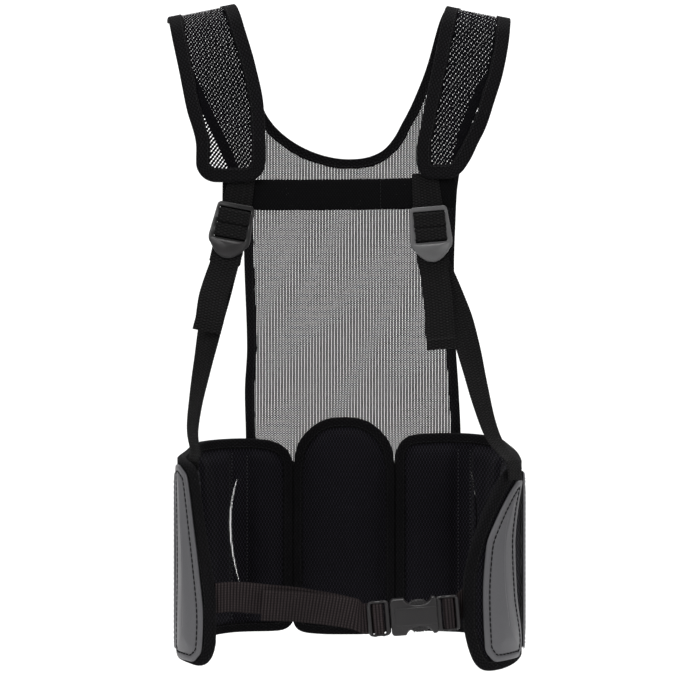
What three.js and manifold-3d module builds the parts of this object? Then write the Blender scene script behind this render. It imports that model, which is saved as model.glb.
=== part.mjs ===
// Rib pad: a mesh back with folded shoulder straps, a chest elastic, webbing adjusters and a
// padded belt whose two wings come round the sides to a buckle at the front.
// Millimetres, +Z up, +Y towards the wearer's back, left is -X. The origin is on the shoulder ridge.

import * as THREE from 'three';
import { mergeVertices } from 'three/addons/utils/BufferGeometryUtils.js';
import loadManifold from 'manifold-3d';

const manifold = await loadManifold();
manifold.setup();

// Cloth and webbing sizes
const GAP = 0.35;
const CURVED_GAP = 0.55;
const NET_THICK = 1.6;
const STRAP_THICK = 3;
const TAPE_THICK = 0.8;
const TAPE_WIDTH = 7.8;
const STRAP_TAPE_WIDTH = 11;
const PAD_TAPE_WIDTH = 7;
const WEB_WIDTH = 25;
const WEB_THICK = 1.6;
const ELASTIC_WIDTH = 25;
const WEB_BEND = 1.8;
const BAR_CLEAR = WEB_THICK / 2 + 0.5;

// Belt heights, measured up from the belt's lower edge
const BELT_BOTTOM = -564;
const WAIST_STRAP_UP = 57;

// Padding: the rim is flat so that the tape lies on it, and the foam stands proud on the inside
const PAD_OUT = 2;
const PAD_RIM_IN = 3;
const PAD_FOAM_IN = 10;
const PAD_RIM = 11;
const PAD_RAMP = 6;
const END_RIM_SHARE = 0.2;
const STEEP_RIM_LIMIT = 5.5;
const ARCH_RIM_GAIN = 0.75;
const PLATE_THICK = 2;

// Depth of the back panel, and of the padding that lies against it
const BACK_DEPTH = 42;
const PAD_DEPTH = BACK_DEPTH - NET_THICK / 2 - GAP - PAD_OUT - CURVED_GAP - TAPE_THICK;

// Shoulder fold seen from the side, as arcs of a length and a turn, going down from the ridge
const REAR_FOLD = [{ length: 66, turn: 90 }];
const FRONT_FOLD = [{ length: 37.7, turn: 72 }, { length: 142, turn: 9 }];
const FRONT_LEAN = 9;

// The ridge slopes down to the arm, and the slope dies out down the strap
const RIDGE_FADE = 110;
const RIDGE = {
  left: { neck: 105, rise: 5.6, slope: 0.21 },
  right: { neck: 89.5, rise: 3.8, slope: 0.21 },
};

// Back panel: rows run from the arm or side edge to the neckline or, below it, to the middle
const BACK_ROWS = [
  { edgeDown: 0, left: -162.5, right: 144.3, neckDown: 0, neckLeft: -105, neckRight: 89.5 },
  { edgeDown: 66, left: -152.7, right: 136, neckDown: 66, neckLeft: -91, neckRight: 73.5 },
  { edgeDown: 92, left: -141, right: 122.5, neckDown: 97, neckLeft: -83.5, neckRight: 61 },
  { edgeDown: 110, left: -133, right: 115, neckDown: 117.8, neckLeft: -72, neckRight: 50 },
  { edgeDown: 126, left: -125.5, right: 109.5, neckDown: 132.2, neckLeft: -57, neckRight: 42 },
  { edgeDown: 140, left: -119, right: 105.5, neckDown: 143.3, neckLeft: -38, neckRight: 32 },
  { edgeDown: 152, left: -113.5, right: 103, neckDown: 149.8, neckLeft: -18, neckRight: 18 },
  { edgeDown: 163, left: -108, right: 100.8, neckDown: 151.8, neckLeft: 0, neckRight: 0 },
  { edgeDown: 182, left: -100, right: 98.3, neckDown: 176, neckLeft: 0, neckRight: 0 },
  { edgeDown: 205, left: -96.5, right: 97.2, neckDown: 203, neckLeft: 0, neckRight: 0 },
  { edgeDown: 250, left: -95.4, right: 95.8, neckDown: 250, neckLeft: 0, neckRight: 0 },
  { edgeDown: 325, left: -93, right: 97.5, neckDown: 325, neckLeft: 0, neckRight: 0 },
  { edgeDown: 365, left: -95, right: 100, neckDown: 365, neckLeft: 0, neckRight: 0 },
  { edgeDown: 410, left: -94, right: 101.8, neckDown: 410, neckLeft: 0, neckRight: 0 },
  { edgeDown: 576, left: -94, right: 101.8, neckDown: 576, neckLeft: 0, neckRight: 0 },
];
const NECK_BOTTOM = 151.8;
const FOLD_STEPS = 8;
const BACK_COLUMNS = [0, 0.2, 0.45, 0.72, 1];

// Front straps: rows go down from the ridge, and the lower corners are round
const STRAP_COLUMNS = [0, 0.22, 0.5, 0.78, 1];
const STRAPS = {
  left: {
    rows: [
      { down: 0, outer: -162.5, inner: -105 },
      { down: 38, outer: -155.8, inner: -94 },
      { down: 75, outer: -148.2, inner: -83 },
      { down: 110, outer: -141.2, inner: -75.5 },
      { down: 148, outer: -131.8, inner: -73.5 },
    ],
    bottom: 177,
    cornerOuter: 17,
    cornerInner: 17,
  },
  right: {
    rows: [
      { down: 0, outer: 144.3, inner: 89.5 },
      { down: 38, outer: 140.8, inner: 82 },
      { down: 75, outer: 134.5, inner: 74.5 },
      { down: 105, outer: 126, inner: 68 },
      { down: 128, outer: 118.5, inner: 63.5 },
      { down: 148, outer: 109, inner: 60 },
      { down: 165, outer: 103, inner: 60 },
    ],
    bottom: 174,
    cornerOuter: 20,
    cornerInner: 12.5,
  },
};
const CORNER_STEPS = 5;
const STRAP_FOLD_STEPS = 6;

// Belt wings: the plan is a run of arcs from the back round the side to the front, and the
// outline is given along it, from the rear edge and from the front edge
const WING_STEP = 11.5;
const WINGS = {
  left: {
    start: 53,
    plan: [
      { length: 37.5, turn: 8 }, { length: 71, turn: 74 }, { length: 80, turn: 8 }, { length: 67, turn: 57.5 },
    ],
    rear: [
      { along: 0, low: 12, high: 159 },
      { along: 4.5, low: 7.5, high: 168 },
      { along: PAD_RIM, low: 5.5, high: 173.5 },
      { along: 23, low: 5, high: 177.5 },
      { along: 47, low: 5, high: 179 },
      { along: 95, low: 3.5, high: 177.5 },
    ],
    front: [
      { back: 0, low: 20, high: 56 },
      { back: 3, low: 10.5, high: 75 },
      { back: PAD_RIM, low: 3, high: 109 },
      { back: 17, low: 2, high: 136 },
      { back: 25, low: 2.5, high: 163 },
      { back: 38, low: 3, high: 167.5 },
      { back: 55, low: 3, high: 169.5 },
      { back: 110, low: 3, high: 172 },
    ],
    foam: [{ from: PAD_RIM, to: 40 }, { from: 58, to: 117 }, { from: 129, to: 219 }],
    slit: [{ x: -102.6, up: 143 }, { x: -108.4, up: 103 }, { x: -100.5, up: 49 }],
    plate: [
      { up: 4, front: 17, back: 44 },
      { up: 14, front: 8, back: 51 },
      { up: 40, front: 6.5, back: 50 },
      { up: 80, front: 11, back: 48 },
      { up: 115, front: 17, back: 49 },
      { up: 145, front: 23, back: 51 },
      { up: 158, front: 27, back: 52 },
      { up: 165.5, front: 40, back: 51 },
    ],
    webBack: 38,
    webVia: [{ x: -132, z: -370, slack: 6 }, { x: -121.5, z: -294, slack: 12 }],
    webTwist: 1.4,
    lap: 6,
    lapFace: 'inside',
  },
  right: {
    start: 44.2,
    plan: [
      { length: 47.8, turn: 8 }, { length: 71, turn: 74 }, { length: 76, turn: 8 }, { length: 87.5, turn: 72 },
    ],
    rear: [
      { along: 0, low: 12, high: 167 },
      { along: 4.5, low: 7.5, high: 176 },
      { along: PAD_RIM, low: 6, high: 181 },
      { along: 23, low: 5.5, high: 183 },
      { along: 50, low: 5, high: 184 },
      { along: 95, low: 4.5, high: 182 },
      { along: 120, low: 5, high: 177.5 },
    ],
    front: [
      { back: 0, low: 34, high: 76 },
      { back: 4, low: 18, high: 92 },
      { back: PAD_RIM, low: 4, high: 112 },
      { back: 18, low: -0.5, high: 127 },
      { back: 26, low: -1.2, high: 139.5 },
      { back: 34, low: -1, high: 150 },
      { back: 50, low: 0.5, high: 161.5 },
      { back: 78, low: 4, high: 166.5 },
      { back: 112, low: 5.5, high: 172 },
    ],
    foam: [{ from: PAD_RIM, to: 56 }, { from: 71, to: 128 }, { from: 140, to: 244 }],
    slit: [{ x: 111.5, up: 150 }, { x: 115, up: 108 }, { x: 109, up: 56 }],
    plate: [
      { up: 5, front: 24, back: 58 },
      { up: 16, front: 15, back: 64 },
      { up: 60, front: 13, back: 53 },
      { up: 100, front: 16, back: 50 },
      { up: 124, front: 27, back: 54 },
      { up: 143, front: 42, back: 62 },
      { up: 152, front: 54, back: 68 },
    ],
    webBack: 50,
    webVia: [{ x: 121.7, z: -377, slack: 4 }, { x: 95, z: -275, slack: 11 }],
    webTwist: 1.2,
    lap: 8,
    lapFace: 'outside',
  },
};
const SLIT_WIDTH = 2.4;
const SLIT_CUT = 100;
const SIDE_PLATE = { gap: 6, width: 62, low: 8, high: 158, corner: 10 };
const SIDE_PLATE_ROWS = [0, 0.25, 0.5, 0.75, 1];
const PLATE_COLUMNS = [0, 0.17, 0.34, 0.5, 0.67, 0.84, 1];

// Spine pad: half widths of an arch with a nearly straight foot
const SPINE_MIDDLE = -4.5;
const SPINE_COLUMNS = [
  { out: 45.4, low: 12, high: 152 },
  { out: 42, low: 6, high: 172 },
  { out: 34.4, low: 3.5, high: 184 },
  { out: 24, low: 2.5, high: 193 },
  { out: 12, low: 2, high: 197.5 },
  { out: 0, low: 2, high: 198.5 },
];

// Ladder locks: bars and slots from the top edge down, and the half widths of the frame
const LOCK = {
  thick: 3.2, topBar: 4.2, slot: 3, tabBar: 8.5, midSlot: 5.8, webBar: 7, tongue: 17.5,
  topHalf: 16, midHalf: 18.3, window: 13.6, windowGrowth: 0.4, tongueHalf: 15.5,
  shoulder: 2, roundLow: 4, neck: 6, tipHalf: 8, tabEnd: 5, mainBelow: -6, tailBelow: 3,
};
const LOCKS = {
  left: { x: -97.2, z: -176, tilt: 11, tail: 60, tailDrift: -14.5 },
  right: { x: 68.5, z: -178.5, tilt: -5, tail: 72, tailDrift: 6 },
};
const TAB_LAP = 6;
const WEB_STEPS = 14;
const LAP_TURN = { edge: 1.5, free: 8 };
const LAP_CURVE = 1.4;
const LAP = {
  outside: { at: PAD_OUT + CURVED_GAP + TAPE_THICK + GAP + WEB_THICK / 2, free: 2 },
  inside: { at: -(PAD_RIM_IN + CURVED_GAP + TAPE_THICK + LAP_CURVE + GAP + WEB_THICK / 2), free: -9 },
};
const HEM = 9;
const HEM_STEP = 0.01;
const TAIL_BOW = { part: 0.5, drift: 0.65 };
const TAIL_LEAN = 0.28;

// Chest elastic: its two ends behind the strap ends
const CHEST = { left: -110, right: 92, top: -154.5 };

// Side-release buckle: lengths along the strap, from the prong's outer bar to the socket's
const BUCKLE = {
  x: 52.9, y: -155, z: -519.8, tilt: -4.6,
  half: 37.8, height: 30, frame: 19, bodyThick: 10, frameThick: 4.4, bar: 3.6, slot: 3.6, slotGrowth: 0.3,
  cavityHeight: 23, cavityThick: 6.2, cavityDepth: 35,
  frameInset: 0.6, frameCorner: 4, bodyCorner: 3, frameLap: 2,
  scoopAt: 23, scoopX: 11.5, scoopZ: 8.2, scoopOut: 2, buttonX: 8.5, buttonZ: 4.6, buttonIn: 2.5,
  arm: 4.5, armShort: 1.5, root: 3, guideLength: 15, guideHalf: 2.5,
};
const WAIST_LINE = [
  { x: -125, z: -505.5 }, { x: -92, z: -506 }, { x: -71, z: -507.5 }, { x: -40, z: -510.5 },
  { x: -8, z: -516 }, { x: 8, z: -519.5 },
];
const WAIST_TAIL_END = -71;
const WAIST_SLOPE_REACH = 5;
const WAIST_ROW_CLEAR = 4;
const WAIST_CLEAR_OF_WING = 12;
const WAIST_ANCHORS = { left: [22, 12, 1], right: [26, 14, 3] };
const WAIST_REACH = { left: { main: 8, tail: 8 }, right: { main: 2, tail: 4 } };

const COLOURS = {
  net: { color: 0x2a2a2c, roughness: 0.9, metalness: 0 },
  tape: { color: 0x17171a, roughness: 0.85, metalness: 0 },
  webbing: { color: 0x1c1a1b, roughness: 0.8, metalness: 0 },
  padding: { color: 0x131216, roughness: 0.95, metalness: 0 },
  coated: { color: 0x67666b, roughness: 0.5, metalness: 0 },
  plastic: { color: 0x2e2c2e, roughness: 0.4, metalness: 0 },
};

const object = new THREE.Group();
const radians = THREE.MathUtils.degToRad;

function addPiece(name, geometry, colour, parent = object) {
  const mesh = new THREE.Mesh(geometry, new THREE.MeshStandardMaterial(COLOURS[colour]));
  mesh.name = name;
  parent.add(mesh);
  return mesh;
}

// Value of a column at a distance, on straight lines between the rows of a table
function between(rows, key, at, column) {
  const ordered = [...rows].sort((one, two) => one[key] - two[key]);
  const next = ordered.findIndex((row) => row[key] >= at);
  if (next < 0) return ordered[ordered.length - 1][column];
  if (next === 0) return ordered[0][column];
  const before = ordered[next - 1];
  const after = ordered[next];
  const share = (at - before[key]) / (after[key] - before[key]);
  return before[column] + share * (after[column] - before[column]);
}

// A plane path of arcs that starts level and turns to the right: a place and a heading for each distance
function arcPath(arcs) {
  return (distance) => {
    let [ahead, aside, heading, left] = [0, 0, 0, distance];
    arcs.forEach((arc, index) => {
      const last = index === arcs.length - 1;
      const step = Math.min(left, arc.length);
      const turn = radians(arc.turn) * (step / arc.length);
      const chord = turn ? (2 * Math.sin(turn / 2) * step) / turn : step;
      ahead += chord * Math.cos(heading + turn / 2);
      aside += chord * Math.sin(heading + turn / 2);
      heading += turn;
      left -= step;
      if (last && left > 0) {
        ahead += left * Math.cos(heading);
        aside += left * Math.sin(heading);
      }
    });
    return { ahead, aside, heading };
  };
}

function pathLength(arcs) {
  return arcs.reduce((sum, arc) => sum + arc.length, 0);
}

// A closed solid from points and triangles, turned so that its faces point out
function solid(points, triangles) {
  let volume = 0;
  for (const [a, b, c] of triangles) {
    volume += points[a].dot(new THREE.Vector3().crossVectors(points[b], points[c]));
  }
  const ordered = volume < 0 ? triangles.map(([a, b, c]) => [a, c, b]) : triangles;
  const geometry = new THREE.BufferGeometry();
  geometry.setAttribute('position', new THREE.Float32BufferAttribute(points.flatMap((p) => p.toArray()), 3));
  geometry.setIndex(ordered.flat());
  return geometry;
}

// Flat pattern of lines of points, with two triangles between each pair of neighbours
function pattern(grids) {
  const points = [];
  const triangles = [];
  const known = new Map();
  const indexOf = (point) => {
    const key = `${point.a.toFixed(3)} ${point.b.toFixed(3)}`;
    if (!known.has(key)) known.set(key, points.push(point) - 1);
    return known.get(key);
  };
  const addTriangle = (a, b, c) => {
    if (a !== b && b !== c && c !== a) triangles.push([a, b, c]);
  };
  for (const lines of grids) {
    for (let line = 0; line + 1 < lines.length; line += 1) {
      for (let spot = 0; spot + 1 < lines[line].length; spot += 1) {
        const near = [indexOf(lines[line][spot]), indexOf(lines[line][spot + 1])];
        const far = [indexOf(lines[line + 1][spot]), indexOf(lines[line + 1][spot + 1])];
        addTriangle(near[0], near[1], far[1]);
        addTriangle(near[0], far[1], far[0]);
      }
    }
  }
  return { points, triangles: consistent(triangles) };
}

// A wall of cloth: the pattern laid on a surface at two offsets, closed round its edges
function wall({ points, triangles }, surface, outer, inner) {
  const count = points.length;
  const offset = (value, point) => (typeof value === 'function' ? value(point) : value);
  const placed = [
    ...points.map((point) => surface(point.a, point.b, offset(outer, point))),
    ...points.map((point) => surface(point.a, point.b, offset(inner, point))),
  ];
  const faces = [];
  const edges = new Map();
  for (const [a, b, c] of triangles) {
    faces.push([a, b, c], [a + count, c + count, b + count]);
    for (const [from, to] of [[a, b], [b, c], [c, a]]) {
      if (edges.has(`${to} ${from}`)) edges.delete(`${to} ${from}`);
      else edges.set(`${from} ${to}`, [from, to]);
    }
  }
  for (const [from, to] of edges.values()) {
    faces.push([from, from + count, to + count], [from, to + count, to]);
  }
  return solid(placed, faces);
}

// A tube of a many-sided section along a list of rings, with flat ends or joined into a loop
function tube(rings, closed = false) {
  const sides = rings[0].length;
  const points = rings.flat();
  const triangles = [];
  const last = closed ? rings.length : rings.length - 1;
  for (let ring = 0; ring < last; ring += 1) {
    const from = ring * sides;
    const to = ((ring + 1) % rings.length) * sides;
    for (let side = 0; side < sides; side += 1) {
      const next = (side + 1) % sides;
      triangles.push([from + side, to + side, to + next], [from + side, to + next, from + next]);
    }
  }
  if (!closed) {
    const end = (rings.length - 1) * sides;
    const flat = (ring) => {
      const across = new THREE.Vector3().subVectors(ring[1], ring[0]).normalize();
      const normal = ringNormal(ring);
      const up = new THREE.Vector3().crossVectors(normal, across);
      const flatten = (reach) => new THREE.Vector2(reach.dot(across), reach.dot(up));
      return ring.map((p) => flatten(p.clone().sub(ring[0])));
    };
    for (const [a, b, c] of THREE.ShapeUtils.triangulateShape(flat(rings[0]), [])) triangles.push([a, b, c]);
    for (const [a, b, c] of THREE.ShapeUtils.triangulateShape(flat(rings[rings.length - 1]), [])) {
      triangles.push([end + a, end + c, end + b]);
    }
  }
  return solid(points, consistent(triangles));
}

function ringNormal(ring) {
  const normal = new THREE.Vector3();
  ring.forEach((p, index) => {
    normal.add(new THREE.Vector3().crossVectors(p.clone().sub(ring[0]),
      ring[(index + 1) % ring.length].clone().sub(ring[0])));
  });
  return normal.normalize();
}

// Turn triangles so that each shared edge runs once each way, working out from the first one
function consistent(triangles) {
  const byEdge = new Map();
  const edgesOf = ([a, b, c]) => [[a, b], [b, c], [c, a]];
  triangles.forEach((triangle, index) => {
    for (const [from, to] of edgesOf(triangle)) {
      const key = from < to ? `${from} ${to}` : `${to} ${from}`;
      if (!byEdge.has(key)) byEdge.set(key, []);
      byEdge.get(key).push(index);
    }
  });
  const done = new Set([0]);
  const waiting = [0];
  const turned = triangles.map((triangle) => [...triangle]);
  while (waiting.length) {
    const index = waiting.pop();
    for (const [from, to] of edgesOf(turned[index])) {
      const key = from < to ? `${from} ${to}` : `${to} ${from}`;
      for (const other of byEdge.get(key)) {
        if (done.has(other)) continue;
        const same = edgesOf(turned[other]).some(([start, end]) => start === from && end === to);
        if (same) turned[other].reverse();
        done.add(other);
        waiting.push(other);
      }
    }
  }
  return turned;
}

// Tape folded round an edge: a C section that keeps a gap to the cloth, swept along the edge.
// The path runs with the cloth on its left in the flat pattern.
function edgeTape(path, surface, { width, outer, inner, gap = GAP, closed = false }) {
  const away = gap + TAPE_THICK;
  const section = [
    [width, outer + away], [-away, outer + away], [-away, -inner - away], [width, -inner - away],
    [width, -inner - gap], [-gap, -inner - gap], [-gap, outer + gap], [width, outer + gap],
  ];
  const count = path.length;
  const rings = path.map((point, index) => {
    const before = path[closed ? (index + count - 1) % count : Math.max(index - 1, 0)];
    const after = path[closed ? (index + 1) % count : Math.min(index + 1, count - 1)];
    const sides = [[before, point], [point, after]].filter(([from, to]) => from !== to);
    const normals = sides.map(([from, to]) => new THREE.Vector2(from.b - to.b, to.a - from.a).normalize());
    const inward = normals.reduce((sum, normal) => sum.add(normal), new THREE.Vector2()).normalize();
    const mitre = 1 / Math.max(inward.dot(normals[0]), 0.7);
    return section.map(([depth, offset]) => surface(
      point.a + inward.x * depth * mitre, point.b + inward.y * depth * mitre, offset,
    ));
  });
  return tube(rings, closed);
}

// Flat webbing through stations that give a place, the way its width lies and the way its face looks
function ribbon(stations, width, thick) {
  return tube(stations.map(({ place, across, face, layers = 1 }) => {
    const half = (thick * layers) / 2;
    const lift = face.clone().multiplyScalar((thick * (layers - 1)) / 2);
    return [[-1, -1], [1, -1], [1, 1], [-1, 1]].map(([aside, front]) => place.clone()
      .addScaledVector(across, (aside * width) / 2)
      .addScaledVector(face, front * half)
      .add(lift));
  }));
}

// A flat run of webbing bent in its side view: points are depth and height, corners are rounded
function bentStations(corners, radius, toWorld, across) {
  const points = [];
  corners.forEach((corner, index) => {
    if (index === 0 || index === corners.length - 1) {
      points.push(corner.clone());
      return;
    }
    const from = corners[index - 1].clone().sub(corner);
    const to = corners[index + 1].clone().sub(corner);
    const reach = Math.min(radius, from.length() * 0.45, to.length() * 0.45);
    const curve = new THREE.QuadraticBezierCurve(
      corner.clone().addScaledVector(from.normalize(), reach), corner.clone(),
      corner.clone().addScaledVector(to.normalize(), reach),
    );
    points.push(...curve.getPoints(3));
  });
  return points.map((point, index) => {
    const before = points[Math.max(index - 1, 0)];
    const after = points[Math.min(index + 1, points.length - 1)];
    const along = after.clone().sub(before).normalize();
    return toWorld(point, new THREE.Vector2(along.y, -along.x), across);
  });
}

function toManifold(geometry) {
  const merged = mergeVertices(onlyPositions(geometry), 1e-4);
  return new manifold.Manifold(new manifold.Mesh({
    numProp: 3,
    vertProperties: new Float32Array(merged.getAttribute('position').array),
    triVerts: new Uint32Array(merged.getIndex().array),
  }));
}

function onlyPositions(geometry) {
  const bare = geometry.clone();
  bare.deleteAttribute('normal');
  bare.deleteAttribute('uv');
  return bare;
}

function fromManifold(body) {
  const mesh = body.getMesh();
  const geometry = new THREE.BufferGeometry();
  geometry.setAttribute('position', new THREE.Float32BufferAttribute(mesh.vertProperties, 3));
  geometry.setIndex(new THREE.Uint32BufferAttribute(mesh.triVerts, 1));
  return geometry;
}

// An outline in the X-Z plane, given a thickness along Y about its middle
function slab(shape, thick, curveSegments = 6) {
  const geometry = new THREE.ExtrudeGeometry(shape, { depth: thick, bevelEnabled: false, curveSegments });
  geometry.translate(0, 0, -thick / 2);
  geometry.rotateX(Math.PI / 2);
  return geometry;
}

function box(lowX, highX, lowZ, highZ, thick) {
  const geometry = new THREE.BoxGeometry(highX - lowX, thick, highZ - lowZ);
  geometry.translate((lowX + highX) / 2, 0, (lowZ + highZ) / 2);
  return geometry;
}

function roundedOutline(lowX, highX, lowZ, highZ, radius) {
  const shape = new THREE.Shape();
  shape.moveTo(lowX + radius, lowZ);
  shape.lineTo(highX - radius, lowZ);
  shape.quadraticCurveTo(highX, lowZ, highX, lowZ + radius);
  shape.lineTo(highX, highZ - radius);
  shape.quadraticCurveTo(highX, highZ, highX - radius, highZ);
  shape.lineTo(lowX + radius, highZ);
  shape.quadraticCurveTo(lowX, highZ, lowX, highZ - radius);
  shape.lineTo(lowX, lowZ + radius);
  shape.quadraticCurveTo(lowX, lowZ, lowX + radius, lowZ);
  return shape;
}

// Surface of the shoulder fold and what hangs from it: across is X, down is along the cloth
function foldSurface(arcs, direction) {
  const profile = arcPath(arcs);
  return (across, down, offset) => {
    const { ahead, aside, heading } = profile(Math.max(down, 0));
    const ridge = RIDGE[across < 0 ? 'left' : 'right'];
    const fade = Math.max(0, 1 - Math.max(down, 0) / RIDGE_FADE);
    const rise = ridge.rise - ridge.slope * (Math.abs(across) - ridge.neck);
    return new THREE.Vector3(
      across,
      direction * (ahead + offset * Math.sin(heading)),
      -aside + offset * Math.cos(heading) + rise * fade,
    );
  };
}

const backSurface = foldSurface(REAR_FOLD, 1);
const strapSurface = foldSurface(FRONT_FOLD, -1);

// Surface of a belt wing: along its plan from the rear edge, and up from the belt's lower edge
function wingSurface(wing, sign) {
  const plan = arcPath(wing.plan);
  return (along, up, offset) => {
    const { ahead, aside, heading } = plan(Math.max(along, 0));
    const short = Math.min(along, 0);
    return new THREE.Vector3(
      sign * (wing.start + ahead + short + offset * Math.sin(heading)),
      PAD_DEPTH - aside + offset * Math.cos(heading),
      BELT_BOTTOM + up,
    );
  };
}

function spineSurface(across, up, offset) {
  return new THREE.Vector3(SPINE_MIDDLE + across, PAD_DEPTH + offset, BELT_BOTTOM + up);
}

// The rows of the back panel, with the round of the fold cut into even steps
function backRows() {
  const [top, second, ...rest] = BACK_ROWS;
  const fold = Array.from({ length: FOLD_STEPS }, (_, step) => {
    const share = step / FOLD_STEPS;
    const part = (key) => [key, top[key] + share * (second[key] - top[key])];
    return Object.fromEntries(Object.keys(top).map(part));
  });
  return [...fold, second, ...rest];
}

function buildBack() {
  const rows = backRows();
  const half = (edge, neck) => rows.map((row) => BACK_COLUMNS.map((share) => ({
    a: row[edge] + share * (row[neck] - row[edge]),
    b: row.edgeDown + share * (row.neckDown - row.edgeDown),
  })));
  const outer = NET_THICK / 2;
  const tape = { width: TAPE_WIDTH, outer, inner: outer };
  addPiece('back_mesh', wall(pattern([half('left', 'neckLeft'), half('right', 'neckRight')]), backSurface,
    outer, -outer), 'net');
  const leftEdge = rows.map((row) => ({ a: row.left, b: row.edgeDown }));
  const rightEdge = rows.map((row) => ({ a: row.right, b: row.edgeDown }));
  const neckRows = rows.filter((row) => row.neckDown <= NECK_BOTTOM);
  const neck = [
    ...neckRows.map((row) => ({ a: row.neckLeft, b: row.neckDown })),
    ...neckRows.slice(0, -1).reverse().map((row) => ({ a: row.neckRight, b: row.neckDown })),
  ];
  addPiece('side_binding_left', edgeTape(leftEdge.reverse(), backSurface, tape), 'tape');
  addPiece('side_binding_right', edgeTape(rightEdge, backSurface, tape), 'tape');
  addPiece('neck_binding', edgeTape(neck, backSurface, tape), 'tape');
}

// Rows of a front strap, with round lower corners
function strapRows(strap) {
  const down = strap.rows.map((row) => row.down);
  const foldStep = FRONT_FOLD[0].length / STRAP_FOLD_STEPS;
  const fold = Array.from({ length: STRAP_FOLD_STEPS }, (_, step) => foldStep * step);
  const start = strap.bottom - Math.max(strap.cornerOuter, strap.cornerInner);
  const corner = Array.from({ length: CORNER_STEPS }, (_, step) => {
    const turn = (Math.PI / 2) * ((step + 1) / CORNER_STEPS);
    return start + (strap.bottom - start) * Math.sin(turn);
  });
  const all = [...fold, ...down.slice(1).filter((value) => value < start - 2), start, ...corner];
  const inset = (at, radius) => {
    const into = Math.max(0, at - (strap.bottom - radius));
    return radius - Math.sqrt(Math.max(radius * radius - into * into, 0));
  };
  const sign = Math.sign(strap.rows[0].outer);
  return all.map((at) => ({
    down: at,
    outer: between(strap.rows, 'down', at, 'outer') - sign * inset(at, strap.cornerOuter),
    inner: between(strap.rows, 'down', at, 'inner') + sign * inset(at, strap.cornerInner),
  }));
}

function buildStrap(side) {
  const rows = strapRows(STRAPS[side]);
  const grid = rows.map((row) => STRAP_COLUMNS.map((share) => ({
    a: row.outer + share * (row.inner - row.outer), b: row.down,
  })));
  const half = STRAP_THICK / 2;
  addPiece(`strap_mesh_${side}`, wall(pattern([grid]), strapSurface, half, -half), 'net');
  const edge = [
    ...rows.map((row) => ({ a: row.outer, b: row.down })),
    ...[...rows].reverse().map((row) => ({ a: row.inner, b: row.down })),
  ];
  const path = side === 'left' ? edge.reverse() : edge;
  addPiece(`strap_binding_${side}`, edgeTape(path, strapSurface, {
    width: STRAP_TAPE_WIDTH, outer: half, inner: half,
  }), 'tape');
}

// Columns of a padded piece: rim, ramp and foam from its lower to its upper edge
function padColumn(along, low, high, lowRim, highRim) {
  const inLow = low + lowRim;
  const inHigh = high - highRim;
  const foamLow = inLow + PAD_RAMP;
  const foamHigh = inHigh - PAD_RAMP;
  const middle = (foamLow + foamHigh) / 2;
  return [low, inLow, foamLow, middle, foamHigh, inHigh, high].map((b, row) => ({
    a: along, b, row, foam: row >= 2 && row <= 4,
  }));
}

function wingOutline(wing) {
  const length = pathLength(wing.plan);
  const front = wing.front.map(({ back, low, high }) => ({ along: length - back, low, high }));
  return [...wing.rear, ...front];
}

function wingColumns(wing) {
  const outline = wingOutline(wing);
  const length = pathLength(wing.plan);
  const marks = outline.map((row) => row.along);
  for (const foam of wing.foam) {
    marks.push(foam.from, foam.from + PAD_RAMP, foam.to - PAD_RAMP, foam.to);
  }
  const sorted = [...new Set(marks)].sort((one, two) => one - two).filter((mark, index, all) => (
    index === 0 || mark - all[index - 1] > 1.5));
  const filled = sorted.flatMap((mark, index) => {
    const next = sorted[index + 1];
    if (next === undefined) return [mark];
    const steps = Math.max(1, Math.round((next - mark) / WING_STEP));
    return Array.from({ length: steps }, (_, step) => mark + ((next - mark) * step) / steps);
  });
  const slopeAt = (along) => {
    const reach = 4;
    const height = (at) => between(outline, 'along', at, 'high');
    return (height(along + reach) - height(along - reach)) / (2 * reach);
  };
  return filled.map((along) => {
    const low = between(outline, 'along', along, 'low');
    const high = between(outline, 'along', along, 'high');
    const nearEnd = along < PAD_RIM - 1 || along > length - PAD_RIM + 1;
    const steep = Math.min(Math.hypot(1, slopeAt(along)), STEEP_RIM_LIMIT);
    const rim = nearEnd ? (high - low) * END_RIM_SHARE : PAD_RIM * steep;
    return padColumn(along, low, high, nearEnd ? rim : PAD_RIM, rim);
  });
}

// Foam stands proud between the ramps of a segment, and the rim and channels stay thin
function foamDepth(wing) {
  return (point) => {
    const inside = wing.foam.some((foam) => point.a > foam.from + 0.1 && point.a < foam.to - 0.1);
    return -(point.foam && inside ? PAD_FOAM_IN : PAD_RIM_IN);
  };
}

function padEdge(columns) {
  const bottom = columns.map((column) => column[0]);
  const top = columns.map((column) => column[column.length - 1]);
  const [rear, front] = [columns[0], columns[columns.length - 1]];
  return [...bottom, ...front.slice(1, -1), ...top.reverse(), ...rear.slice(1, -1).reverse()];
}

function slitCutter(slit) {
  const half = SLIT_WIDTH / 2;
  const curve = new THREE.QuadraticBezierCurve(
    new THREE.Vector2(slit[0].x, slit[0].up),
    new THREE.Vector2(2 * slit[1].x - (slit[0].x + slit[2].x) / 2, slit[1].up),
    new THREE.Vector2(slit[2].x, slit[2].up),
  );
  const line = curve.getPoints(6);
  const shape = new THREE.Shape([
    ...line.map((p) => new THREE.Vector2(p.x - half, p.y + BELT_BOTTOM)),
    ...[...line].reverse().map((p) => new THREE.Vector2(p.x + half, p.y + BELT_BOTTOM)),
  ]);
  return slab(shape, SLIT_CUT);
}

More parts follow.
